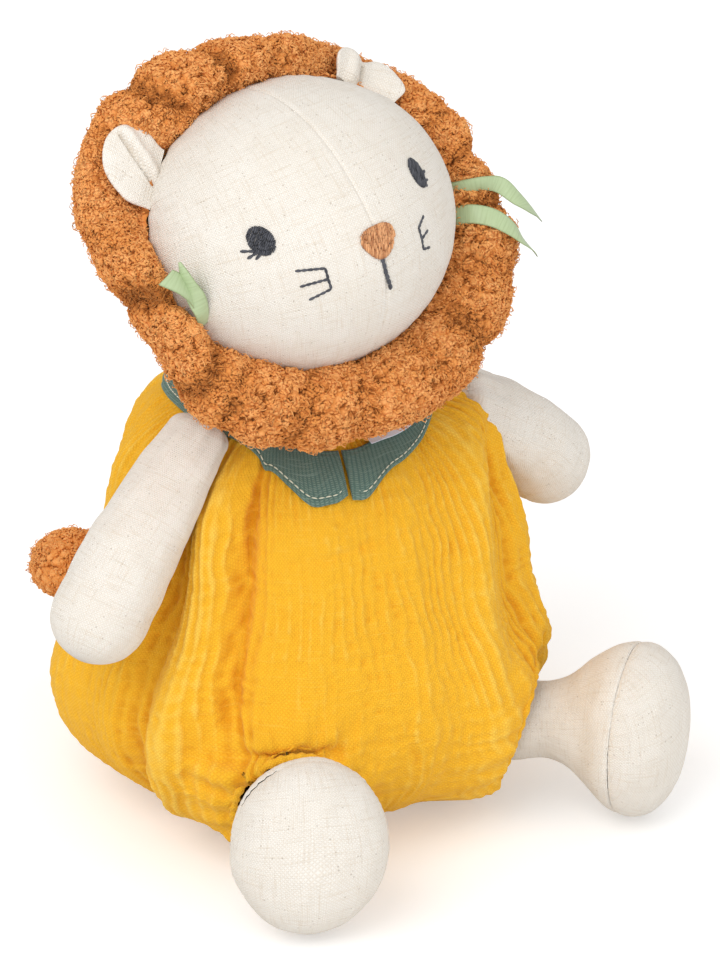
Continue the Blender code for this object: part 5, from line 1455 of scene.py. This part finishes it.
@dataclass
class Ribbon:
    """A short satin tail sewn into the face seam."""

    name: str
    head: Head
    course: tuple[tuple[float, float, float], ...]
    turns: tuple[tuple[float, float, float], ...]
    widths: tuple[float, ...]
    slant: float = 0.0
    thick: float = 0.00025

    @classmethod
    def over(cls, name: str, head: Head, spots: tuple[tuple[float, float, float, float], ...],
             widths: tuple[float, ...], slant: float = 0.0) -> "Ribbon":
        """Lay a ribbon from the face seam over the mane.

        Args:
            name: The CAD node's name.
            head: The head it is sewn to.
            spots: Sweep in degrees, place round the mane in half turns, lift and twist in degrees.
            widths: Its width from the seam to the tip.
            slant: How obliquely the tip is cut.

        Returns:
            The ribbon.
        """
        mane = Mane(head)
        knots = []
        turns = []
        for sweep, around, lift, _ in spots:
            at = np.radians(sweep)
            outward, _, forward = head.seam_directions(at)
            full = mane.full(at)
            beside, ahead = math.cos(around * math.pi), math.sin(around * math.pi)
            middle = head.seam(at) + outward * full - forward * mane.set_back
            facing = unit(outward * max(beside, -0.4) + forward * max(ahead, 0.3))
            knots.append(middle + outward * (full * beside) + forward * (mane.axial * ahead) + facing * lift)
            turns.append(facing)
        return cls.twisted(name, head, knots, turns, [spot[3] for spot in spots], widths, slant)

    @classmethod
    def ahead(cls, name: str, head: Head, spots: tuple[tuple[float, float, float, float], ...],
              widths: tuple[float, ...], slant: float = 0.0) -> "Ribbon":
        """Lay a ribbon from the face seam over the face.

        Args:
            name: The CAD node's name.
            head: The head it is sewn to.
            spots: Sweep in degrees, degrees ahead of the seam, lift and twist in degrees.
            widths: Its width from the seam to the tip.
            slant: How obliquely the tip is cut.

        Returns:
            The ribbon.
        """
        knots = []
        turns = []
        for sweep, forward, lift, _ in spots:
            at = np.radians(sweep)
            tilt = head.seam_tilt(at) - math.radians(forward)
            knots.append(head.shell(tilt, at, lift))
            turns.append(unit(head.shell(tilt, at, 1.0) - head.shell(tilt, at)))
        return cls.twisted(name, head, knots, turns, [spot[3] for spot in spots], widths, slant)

    @classmethod
    def twisted(cls, name: str, head: Head, knots: list[Array], turns: list[Array], twists: list[float],
                widths: tuple[float, ...], slant: float) -> "Ribbon":
        """Turn a ribbon's flat side about its run by a twist in degrees at each knot.

        Args:
            name: The CAD node's name.
            head: The head it is sewn to.
            knots: The points of its course.
            turns: The untwisted flat side's normals.
            twists: Twist in degrees.
            widths: Its width from the seam to the tip.
            slant: How obliquely the tip is cut.

        Returns:
            The ribbon.
        """
        runs = unit(np.gradient(np.array(knots), axis=0))
        facing = [normal * math.cos(math.radians(twist)) + np.cross(run, normal) * math.sin(math.radians(twist))
                  for twist, normal, run in zip(twists, turns, runs)]
        return cls(name, head, tuple(map(tuple, knots)), tuple(map(tuple, facing)), widths, slant)

    def build(self, finishes: Finishes) -> None:
        """Sweep the tape along its course."""
        knots = np.array(self.course)
        shares = np.linspace(0.0, 1.0, len(knots))
        share = np.linspace(0.0, 1.0, 60)
        line = np.stack([through(tuple(zip(shares, knots[:, axis])), share) for axis in range(3)], axis=-1)
        facing = np.array(self.turns)
        normal = unit(np.stack([through(tuple(zip(shares, facing[:, axis])), share) for axis in range(3)], axis=-1))
        run = unit(np.gradient(line, axis=0))
        across = unit(np.cross(normal, run))
        normal = np.cross(run, across)
        spots = np.linspace(0.0, 1.0, len(self.widths))
        half = 0.5 * through(tuple(zip(spots, self.widths)), share)
        columns = 15
        place = np.linspace(-1.0, 1.0, columns)
        cut = run[:, None] * (place[None, :] * self.slant * smooth_step(0.7, 1.0, share)[:, None] * 0.003)[..., None]
        top = (line[:, None] + across[:, None] * (half[:, None] * place[None, :])[..., None] + cut
               + normal[:, None] * (0.00035 * (1.0 - place[None, :] ** 2) * np.ones((60, 1)))[..., None])
        points = self.head.world(slab(top, top - normal[:, None] * self.thick)[0])
        length = run_lengths(line)
        flat = grid(place[None, :] * 0.003, length[:, None])
        edge = np.concatenate([np.abs(place), np.abs(place)])[None, :]
        back = np.concatenate([np.zeros(columns), np.ones(columns)])[None, :]
        middle = np.broadcast_to(self.head.world(line[:, None] - normal[:, None] * (0.5 * self.thick)), points.shape)
        piece = skin(self.name + "_satin", points, True, middle, both(flat), {"edge": edge, "reverse": back},
                     caps=(True, True))
        finishes.dress(piece, "ribbon", "head", stands_for=(self.name,))


@dataclass
class Collar:
    """A flat twill collar of two leaves, topstitched, and the bare tape label on it."""

    romper: Romper
    inner: float = 0.0230
    neckline: float = 0.0150
    width: float = 0.0268
    lift: float = 0.0008
    thick: float = 0.0010
    leaves: tuple[tuple[Side, float, float, Stations], ...] = (
        (Side.RIGHT, -99.6, -256.0, (
            (0.0, 0.93), (5.0, 0.99), (13.0, 1.00), (22.0, 0.88), (34.0, 0.68), (52.0, 0.56), (90.0, 0.56),
            (120.0, 0.64), (150.0, 0.74), (166.0, 0.70), (180.0, 0.50))),
        (Side.LEFT, -98.4, 102.0, (
            (0.0, 0.96), (4.0, 0.95), (13.0, 0.84), (22.0, 0.78), (34.0, 0.72), (52.0, 0.66), (90.0, 0.66),
            (120.0, 0.75), (150.0, 0.80), (166.0, 0.72), (180.0, 0.50))),
    )

    def place(self, start: float, end: float, widths: Stations, share: Array, across: Array,
              lift: Array) -> Array:
        """Points of a leaf.

        Args:
            start: Azimuth of its front edge in degrees.
            end: Azimuth of its back edge in degrees.
            widths: Its width from front to back.
            share: How far round, 0 to 1.
            across: From the neckline, 0, to the outer edge, 1.
            lift: Distance off the romper.

        Returns:
            The points.
        """
        inner = self.inner + self.neckline * hill(share, 0.0, 0.26)
        outer = self.inner + self.width * through(widths, 180.0 * share)
        radius = inner + (outer - inner) * across
        return self.romper.top(np.radians(start + (end - start) * share), radius, lift)

    def build(self, finishes: Finishes) -> None:
        """Make the leaves, their stitches and the label."""
        for side, start, end, widths in self.leaves:
            self.leaf(side, start, end, widths, finishes)
            self.stitches(side, start, end, widths, finishes)
        self.label(finishes)

    def leaf(self, side: Side, start: float, end: float, widths: Stations, finishes: Finishes) -> None:
        """Make one leaf as a closed, rounded slab of cloth."""
        share = (np.linspace(0.0, 1.0, 190) ** 1.25)[:, None]
        across = np.linspace(0.0, 1.0, 44)[None, :]
        share, across = np.broadcast_arrays(share, across)
        soft = 0.0003 * flat_rough(share * 30.0, across * 3.0, 111) + 0.0009 * hill(share, 0.0, 0.02)
        edge = np.minimum(np.minimum(across, 1.0 - across) * 0.016, share * 0.40)
        press = 1.0 - 0.75 * np.exp(-edge / 0.0006) - 0.22 * hill(edge, 0.0017, 0.00035)
        level = self.lift + soft
        top = self.place(start, end, widths, share, across, level + self.thick * press)
        points, core = slab(top, self.place(start, end, widths, share, across, level))
        cloth = both(grid(share * 0.10, across * self.width))
        name = "collar_" + side.value
        piece = skin(name + "_leaf", points, True, core, cloth, caps=(True, True))
        finishes.dress(piece, "collar", "torso", stands_for=(name,))

    def stitches(self, side: Side, start: float, end: float, widths: Stations, finishes: Finishes) -> None:
        """Sew the pale line of stitches inside the edge."""
        front = [(0.012, across) for across in np.linspace(0.15, 0.84, 40)]
        round_off = [(0.014, 0.86), (0.018, 0.875), (0.024, 0.885)]
        lower = [(share, 0.89) for share in np.linspace(0.030, 0.96, 500)]
        line = np.array(front + round_off + lower)
        level = np.full(len(line), self.lift + self.thick + 0.0001)
        course = self.place(start, end, widths, line[:, 0], line[:, 1], level)
        length = run_lengths(course)
        raised = self.place(start, end, widths, line[:, 0], line[:, 1], level + 0.001) - course
        pitch = 0.0021
        paths, radii, tones = [], [], []
        for index in range(int(length[-1] / pitch)):
            along = np.linspace(index * pitch, index * pitch + 0.0016, 6)
            arch = np.sin(np.linspace(0.03, 0.97, 6) * np.pi)
            at = read_line(along, length, course)
            up = unit(read_line(along, length, raised))
            paths.append(at + up * (0.00030 * arch - 0.00006)[:, None])
            radii.append(0.00020 * (0.6 + 0.4 * arch))
            # A painted highlight on each stitch's crown and painted shade at its ends.
            tones.append(0.3 + 0.7 * arch)
        piece = tubes("collar_" + side.value + "_stitches", np.array(paths), np.array(radii), 6,
                      {"tone": np.array(tones)})
        finishes.dress(piece, "cream_thread", "torso")

    def label(self, finishes: Finishes) -> None:
        """Make the bare tape label."""
        azimuth = np.radians(np.linspace(-86.0, -56.5, 60))[:, None]
        side = np.linspace(0.0, 1.0, 30)[None, :]
        azimuth, side = np.broadcast_arrays(azimuth, side)
        radius = self.inner + 0.43 * self.width + 0.0040 * side
        level = self.lift + self.thick + 0.0006 + 0.0006 * side ** 2 + 0.0003 * np.sin(5.0 * azimuth + 2.0 * side)
        top = self.romper.top(azimuth, radius, level + 0.0005)
        points, core = slab(top, self.romper.top(azimuth, radius, level))
        marks = {"edge": both(np.abs(2.0 * side - 1.0)), "reverse": np.zeros(points.shape[:2])}
        piece = skin("collar_label_tape", points, True, core, both(grid(azimuth * 0.040, side * 0.0065)), marks,
                     caps=(True, True))
        finishes.dress(piece, "label", "torso", stands_for=("collar_label",))


# Limbs

@dataclass
class Limb:
    """A stuffed linen limb, given as sections along a bent line."""

    name: str
    start: Array
    bend: Array
    end: Array
    level: Array

    def at(self, share: Array) -> tuple[Array, Array]:
        """Places and directions along the line."""
        share = share[:, None]
        place = self.start * (1 - share) ** 2 + self.bend * (2 * share * (1 - share)) + self.end * share ** 2
        run = (self.bend - self.start) * (2 * (1 - share)) + (self.end - self.bend) * (2 * share)
        return place, unit(run)

    def sections(self, place: Array, run: Array, side: Array, rise: Array, around: Array) -> Array:
        """Elliptical sections square to the limb."""
        first = unit(self.level - run * (run @ self.level)[:, None])
        second = np.cross(run, first)
        return (place[:, None] + first[:, None] * (side[:, None] * np.cos(around)[None, :])[..., None]
                + second[:, None] * (rise[:, None] * np.sin(around)[None, :])[..., None])

    @staticmethod
    def uneven(points: Array, broad: float, fine: float, cell: float, seed: int) -> Array:
        """Lumps of the filling under the cover, broad ones and fine ones, in metres."""
        return broad * rough(points / cell, seed) + fine * rough(points / 0.004, seed + 1)


@dataclass
class Arm:
    """One arm, sewn on flat at the shoulder and round at the hand."""

    side: Side
    shoulder: tuple[float, float, float]
    hand: tuple[float, float, float]
    reach_up: float = 0.0
    hand_radius: float = 0.0148
    root_thin: float = 0.0058
    root_wide: float = 0.0110

    def build(self, finishes: Finishes) -> None:
        """Make the arm's cover."""
        start, end = np.array(self.shoulder), np.array(self.hand)
        start = start + unit(start - end) * self.reach_up
        middle = 0.5 * (start + end)
        outward = unit(middle * np.array((1.0, 1.0, 0.0)))
        down = unit(end - start)
        flat_out = unit(start * np.array((1.0, 1.0, 0.0)))
        level = unit(flat_out - down * (flat_out @ down))
        limb = Limb("arm_" + self.side.value, start,
                    middle + outward * (0.25 * self.hand_radius), end, level)
        radius = self.hand_radius
        share = np.linspace(0.0, 1.0, 90)
        place, run = limb.at(share)
        thin = through(((0.0, self.root_thin), (0.3, 0.60 * radius), (0.62, 0.86 * radius), (1.0, 0.97 * radius)), share)
        wide = through(((0.0, self.root_wide), (0.3, 0.88 * radius), (0.62, 0.96 * radius), (1.0, radius)), share)
        root = np.linspace(-0.97, -0.03, 14)
        squeeze = np.sqrt(1.0 - root ** 2)
        cap = np.sin(np.linspace(0.03, 0.485, 40) * np.pi)
        cap_squeeze = np.sqrt(1.0 - cap ** 2)
        places = np.vstack([start + run[0] * (self.root_thin * root)[:, None], place,
                            end + run[-1] * (radius * cap)[:, None]])
        runs = np.vstack([np.repeat(run[:1], len(root), axis=0), run, np.repeat(run[-1:], len(cap), axis=0)])
        sides = np.concatenate([self.root_thin * squeeze, thin, 0.97 * radius * cap_squeeze])
        rises = np.concatenate([self.root_wide * squeeze, wide, radius * cap_squeeze])
        around = circle(120)
        points = limb.sections(places, runs, sides, rises, around)
        length = run_lengths(places)
        axis = np.broadcast_to(places[:, None], points.shape)
        out = unit(points - axis)
        grain = limb.uneven(points, 0.00055, 0.00022, 0.011, 61)
        degrees = np.degrees(around) - 120.0 * self.side.sign - 7.0
        seam = (hill(turn_between(degrees, 0.0), 0.0, 3.2) + hill(turn_between(degrees, 180.0), 0.0, 3.2))[None, :]
        pucker = np.sin(length / 0.0035 * 2.0 * np.pi)[:, None]
        groove = -0.0004 * seam * (0.8 + 0.2 * pucker)
        gather = 0.0005 * np.sin(9.0 * around)[None, :] * np.exp(-length / 0.012)[:, None]
        points = points + out * (grain + groove + gather)[..., None]
        cloth = grid(around[None, :] * radius, length[:, None])
        piece = skin(limb.name + "_linen", points, True, axis, cloth, caps=(True, True))
        finishes.dress(piece, "linen", limb.name, stands_for=(limb.name + "_cover", limb.name + "_filling"))


@dataclass
class LegPiece:
    """One leg: a flared tube and its domed sole, with a seam between."""

    side: Side
    radius: float = 0.0145
    waist: float = 0.0122
    half_width: float = 0.0232
    half_height: float = 0.0276
    dome: float = 0.0170

    @staticmethod
    def drawn(reach: Array, around: Array) -> Array:
        """How the sole's seam draws the cloth in and puckers it, by the distance from the seam."""
        pucker = np.sin(60.0 * around + 2.0 * np.sin(5.0 * around))[None, :]
        return (-0.0008 * np.exp(-reach / 0.0009)[:, None]
                + 0.00022 * pucker * np.exp(-reach / 0.003)[:, None])

    def build(self, finishes: Finishes) -> None:
        """Make the leg's cover and sole."""
        start, bend, end = LEGS[self.side].line()
        name = "leg_" + self.side.value
        limb = Limb(name, start, bend, end, np.array((0.0, 0.0, 1.0)))
        share = np.linspace(0.0, 1.0, 110)
        place, run = limb.at(share)
        tall, wide = (through(((0.0, self.waist), (0.28, self.waist), (0.46, self.radius), (0.62, 0.72 * half),
                               (0.84, 0.93 * half), (1.0, half)), share)
                      for half in (self.half_height, self.half_width))
        root = np.linspace(-0.95, -0.03, 14)
        squeeze = np.sqrt(1.0 - root ** 2)
        places = np.vstack([start + run[0] * (self.radius * root)[:, None], place])
        runs = np.vstack([np.repeat(run[:1], len(root), axis=0), run])
        talls = np.concatenate([self.waist * squeeze, tall])
        wides = np.concatenate([self.waist * squeeze, wide])
        around = circle(150)
        points = limb.sections(places, runs, talls, wides, around)
        length = run_lengths(places)
        to_seam = length[-1] - length
        axis = np.broadcast_to(places[:, None], points.shape)
        out = unit(points - axis)
        grain = limb.uneven(points, 0.00055, 0.0002, 0.012, 71)
        side_seam = (hill(np.cos(around), -1.0, 0.004))[None, :]
        points = points + out * (grain - 0.0006 * side_seam + self.drawn(to_seam, around))[..., None]
        points[..., 2] = np.maximum(points[..., 2], 0.0)
        cloth = grid(around[None, :] * self.half_width, length[:, None])
        cover = skin(name + "_linen", points, True, axis, cloth, caps=(True, False))
        finishes.dress(cover, "linen", limb.name, stands_for=(name + "_cover", name + "_filling"))
        turn = np.linspace(0.0, 0.497, 80) * np.pi
        ring, squeeze = np.sin(turn) ** (2.0 / 2.4), np.cos(turn) ** (2.0 / 2.4)
        seam_place = end + run[-1] * 0.0004
        places = seam_place + run[-1] * (self.dome * ring)[:, None]
        runs = np.repeat(run[-1:], len(ring), axis=0)
        points = limb.sections(places, runs, self.half_height * squeeze, self.half_width * squeeze, around)
        axis = np.broadcast_to(end - run[-1] * 0.01, points.shape)
        out = unit(points - axis)
        grain = limb.uneven(points, 0.0005, 0.0002, 0.013, 73)
        points = points + out * (grain + self.drawn(self.dome * ring, around))[..., None]
        points[..., 2] = np.maximum(points[..., 2], 0.0)
        spread = 1.35 * (1.0 - turn / (0.5 * np.pi))[:, None]
        flat = np.stack([spread * self.half_height * np.cos(around)[None, :],
                         spread * self.half_width * np.sin(around)[None, :]], axis=-1)
        sole = skin("sole_" + self.side.value + "_linen", points, True, axis, flat, caps=(False, True))
        finishes.dress(sole, "linen", limb.name, stands_for=("sole_" + self.side.value,))


@dataclass
class Tail:
    """The tail's linen cord and its teddy tuft."""

    romper: Romper
    radius: float = 0.0042
    base_z: float = 0.0300
    reach: float = 0.0440
    rise: float = 0.0122
    tuft_radius: float = 0.0110
    tuft_half: float = 0.0150

    def build(self, finishes: Finishes) -> None:
        """Make the cord and the tuft."""
        share = np.array([self.base_z / self.romper.height])
        base = self.romper.form(np.array([np.pi / 2]), share)[0] + np.array((0.0, self.radius + 0.0003, 0.0))
        tip = base + np.array((-self.reach, 0.10 * self.reach, self.rise))
        bend = base + np.array((-0.45 * self.reach, 0.36 * self.reach, 0.15 * self.rise))
        limb = Limb("tail", base, bend, tip, np.array((0.0, 0.0, 1.0)))
        share = np.linspace(0.0, 0.64, 60)
        place, run = limb.at(share)
        around = circle(48)
        radius = np.full(60, self.radius)
        points = limb.sections(place, run, radius, radius, around)
        axis = np.broadcast_to(place[:, None], points.shape)
        points = points + unit(points - axis) * (0.0004 * rough(points / 0.004, 76))[..., None]
        length = np.linspace(0.0, 0.64, 60) * self.reach
        cloth = grid(around[None, :] * self.radius, length[:, None])
        cord = skin("tail_cord_linen", points, True, axis, cloth, caps=(True, True))
        finishes.dress(cord, "linen", "tail", stands_for=("tail_cord",))
        start, along = limb.at(np.array([0.62]))
        angle = np.linspace(0.04, 0.99, 110) * np.pi
        swell = np.sin(angle) ** 0.8 * self.tuft_radius
        places = start + along * (self.tuft_half * (1.0 - np.cos(angle)))[:, None]
        around = circle(190)
        points = limb.sections(places, np.repeat(along, 110, axis=0), swell, swell, around)
        middle = start[0] + along[0] * self.tuft_half
        height, tone = bobbles(points)
        points = points + unit(points - middle) * (0.0013 * height - 0.0007)[..., None]
        # The bobbles' height marks painted shade in their gaps and a painted highlight on their tops.
        tuft = skin("tail_tuft_pile", points, True, middle, None, {"tip": height, "tone": tone}, None, (True, True))
        finishes.dress(tuft, "teddy", "tail", stands_for=("tail_tuft",))
        chance = np.random.default_rng(78)
        turn = unit(chance.normal(size=(3000, 3)))
        along_share = turn @ along[0]
        root = middle + turn * (self.tuft_radius * 0.97) + along[0] * (
            along_share * (self.tuft_half - self.tuft_radius))[:, None]
        curls = pile_curls("tail_tuft_curls", root[along_share > -0.93], turn[along_share > -0.93], 79)
        finishes.dress(curls, "teddy", "tail")


# Light, floor and camera

@dataclass
class Studio:
    """A pale floor, soft light and the camera at the photograph's angle."""

    target: tuple[float, float, float] = (0.0166, -0.0062, 0.0961)
    azimuth: float = -27.0
    elevation: float = 26.0
    distance: float = 1.25
    lens: float = 154.7
    lamp_distance: float = 1.8
    world_strength: float = 0.76
    floor_half: float = 4.0
    floor_level: float = -0.0004
    floor_glow: float = 0.30

    def build(self) -> None:
        """Make the stage."""
        self.floor()
        self.lights()
        self.camera()

    def aim(self, thing: bpy.types.Object, azimuth: float, elevation: float, distance: float) -> None:
        """Place a lamp or camera round the target and turn it there."""
        a, e = math.radians(azimuth), math.radians(elevation)
        toward = Vector((math.sin(a) * math.cos(e), -math.cos(a) * math.cos(e), math.sin(e)))
        thing.location = Vector(self.target) + toward * distance
        thing.rotation_mode = "QUATERNION"
        thing.rotation_quaternion = toward.to_track_quat("Z", "Y")

    def floor(self) -> None:
        """A wide white floor."""
        mesh = bpy.data.meshes.new("studio_floor")
        half, low = self.floor_half, self.floor_level
        mesh.from_pydata([(-half, -half, low), (half, -half, low), (half, half, low), (-half, half, low)],
                         [], [(0, 1, 2, 3)])
        floor = link("studio_floor", mesh)
        material, tree, shader = new_material("white_floor")
        tree.feed(shader.inputs["Base Color"], (0.86, 0.86, 0.86))
        shader.inputs["Roughness"].default_value = 0.9
        seen = tree.node("ShaderNodeLightPath").outputs["Is Camera Ray"]
        none, glow = (tree.filled("ShaderNodeEmission", {"Strength": strength}).outputs[0]
                      for strength in (0.0, self.floor_glow))
        lit = tree.filled("ShaderNodeMixShader", {0: seen, 1: none, 2: glow}).outputs[0]
        total = tree.filled("ShaderNodeAddShader", {0: shader.outputs[0], 1: lit}).outputs[0]
        tree.feed(material.node_tree.nodes["Material Output"].inputs["Surface"], total)
        mesh.materials.append(material)

    def lights(self) -> None:
        """An even world and two large soft lamps."""
        world = bpy.data.worlds.new("studio")
        bpy.context.scene.world = world
        world.use_nodes = True
        tree = Tree(world.node_tree)
        shade = world.node_tree.nodes["Background"]
        shade.inputs["Color"].default_value = (1.0, 1.0, 1.0, 1.0)
        shade.inputs["Strength"].default_value = self.world_strength
        bright = tree.filled("ShaderNodeBackground", {"Strength": 1.0}).outputs[0]
        seen = tree.node("ShaderNodeLightPath").outputs["Is Camera Ray"]
        lit = tree.filled("ShaderNodeMixShader", {0: seen, 1: shade.outputs[0], 2: bright}).outputs[0]
        tree.feed(world.node_tree.nodes["World Output"].inputs["Surface"], lit)
        for label, azimuth, elevation, energy, size in (
            ("key", -62.0, 46.0, 13.5, 1.3), ("fill", 6.0, 6.0, 11.0, 1.8),
        ):
            lamp = bpy.data.lights.new("lamp_" + label, "AREA")
            lamp.energy = energy
            lamp.size = size
            self.aim(link("lamp_" + label, lamp), azimuth, elevation, self.lamp_distance)

    def camera(self) -> None:
        """The camera at the photograph's angle."""
        lens = bpy.data.cameras.new("camera")
        lens.lens = self.lens
        lens.sensor_width = 36.0
        lens.clip_start = 0.01
        camera = link("camera", lens)
        self.aim(camera, self.azimuth, self.elevation, self.distance)
        bpy.context.scene.camera = camera


def ribbons(head: Head, finishes: Finishes) -> None:
    """Make the four ribbon tails."""
    for name, spots, widths, slant in (
        ("ribbon_left_upper", ((-10.5, 0.86, 0.0016, 30.0), (-11.0, 0.70, 0.0018, 45.0), (-11.5, 0.54, 0.0022, 50.0),
                               (-13.0, 0.40, 0.0030, 35.0), (-17.5, 0.30, 0.0046, 10.0),
                               (-22.0, 0.22, 0.0076, -20.0)), (0.0050, 0.0050, 0.0048, 0.0046), 1.0),
        ("ribbon_left_lower", ((-20.5, 0.85, 0.0018, 0.0), (-21.0, 0.70, 0.0022, 0.0), (-23.0, 0.54, 0.0026, 0.0),
                               (-26.0, 0.41, 0.0034, -10.0), (-29.0, 0.32, 0.0044, -30.0),
                               (-31.0, 0.25, 0.0060, -40.0)), (0.0056, 0.0056, 0.0052, 0.0046), 1.0),
        ("ribbon_right_upper", ((196.0, 0.86, 0.0030, 0.0), (191.0, 0.78, 0.0050, 0.0), (186.0, 0.68, 0.0066, 0.0),
                                (181.0, 0.58, 0.0076, 0.0), (177.0, 0.50, 0.0080, 0.0)),
         (0.0040, 0.0056, 0.0060, 0.0058), 0.5),
    ):
        Ribbon.over(name, head, spots, widths, slant).build(finishes)
    Ribbon.ahead("ribbon_right_lower", head,
                 ((195.0, 10.5, 0.0012, 65.0), (189.0, 15.5, 0.0026, 60.0), (182.5, 18.5, 0.0040, 30.0),
                  (176.5, 20.0, 0.0052, 0.0), (171.5, 21.0, 0.0062, 0.0), (167.5, 21.5, 0.0070, 0.0)),
                 (0.0040, 0.0046, 0.0054, 0.0050, 0.0030, 0.0008)).build(finishes)


def neck(finishes: Finishes) -> None:
    """Make the linen ball of the neck."""
    around = circle(96)
    tilt = np.linspace(0.06, math.pi - 0.06, 60)
    ball = grid(np.sin(tilt)[:, None] * np.cos(around)[None, :],
                                        np.sin(tilt)[:, None] * np.sin(around)[None, :],
                                        np.cos(tilt)[:, None])
    centre = np.array(NECK_POINT)
    points = centre + ball * (NECK_BALL - 0.0001 * (1.0 + rough(ball * 5.0, 121)))[..., None]
    cloth = grid(around[None, :] * NECK_BALL, tilt[:, None] * NECK_BALL)
    piece = skin("neck_linen", points, True, centre, cloth, caps=(True, True))
    finishes.dress(piece, "linen", "neck", stands_for=("neck_plug",))


def torso_top(romper: Romper, finishes: Finishes) -> None:
    """Make the top of the linen torso, gathered in from the romper's neckline to the neck."""
    azimuth = (circle(240) - np.pi)[None, :]
    share = np.linspace(0.0, 1.0, 40)[:, None]
    centre = np.array((NECK_POINT[0], NECK_POINT[1], 0.1310))
    rim = romper.form(azimuth, np.full_like(azimuth, 0.94)) * (0.94, 0.94, 0.985)
    inner = centre + unit((rim - centre) * (1.0, 1.0, 0.0)) * 0.0110
    gather = 0.0005 * np.sin(34.0 * azimuth + 2.0 * np.sin(5.0 * azimuth)) * hill(share, 0.8, 0.35)
    points = rim + (inner - rim) * share[..., None]
    points[..., 2] += gather + 0.0012 * np.sin(np.pi * share)
    cloth = grid(azimuth * 0.022, share * 0.022)
    piece = skin("torso_linen", points, True, np.array((0.0, 0.0, 0.06)), cloth)
    finishes.dress(piece, "linen", "torso", stands_for=("torso_cover",))


def main() -> None:
    """Build every piece in order."""
    logging.basicConfig(level=logging.INFO, format="%(name)s: %(message)s")
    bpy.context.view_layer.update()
    bpy.context.scene.view_settings.view_transform = "Standard"
    finishes = Finishes()
    finishes.build()
    Studio().build()
    romper = Romper()
    romper.build(finishes)
    torso_top(romper, finishes)
    Collar(romper).build(finishes)
    head = Head()
    head.build(finishes)
    Mane(head).build(finishes)
    Ear(Side.RIGHT, head, 138.0, 2.0, 0.0114, 0.0172, -0.20, -0.75, 0.0024, -1.0, 0.0, -0.0044).build(finishes)
    Ear(Side.LEFT, head, 41.0, 10.0, 0.0120, 0.0140, 0.15, 0.10, 0.0066, 1.0, 0.24, 0.0).build(finishes)
    Embroidery(head).build(finishes)
    ribbons(head, finishes)
    neck(finishes)
    Arm(Side.RIGHT, romper.shoulders[0], (-0.0800, -0.0300, 0.0846), 0.0090).build(finishes)
    Arm(Side.LEFT, romper.shoulders[1], (0.0790, -0.0090, 0.0918)).build(finishes)
    for side in Side:
        LegPiece(side).build(finishes)
    Tail(romper).build(finishes)


if __name__ == "__main__":
    main()
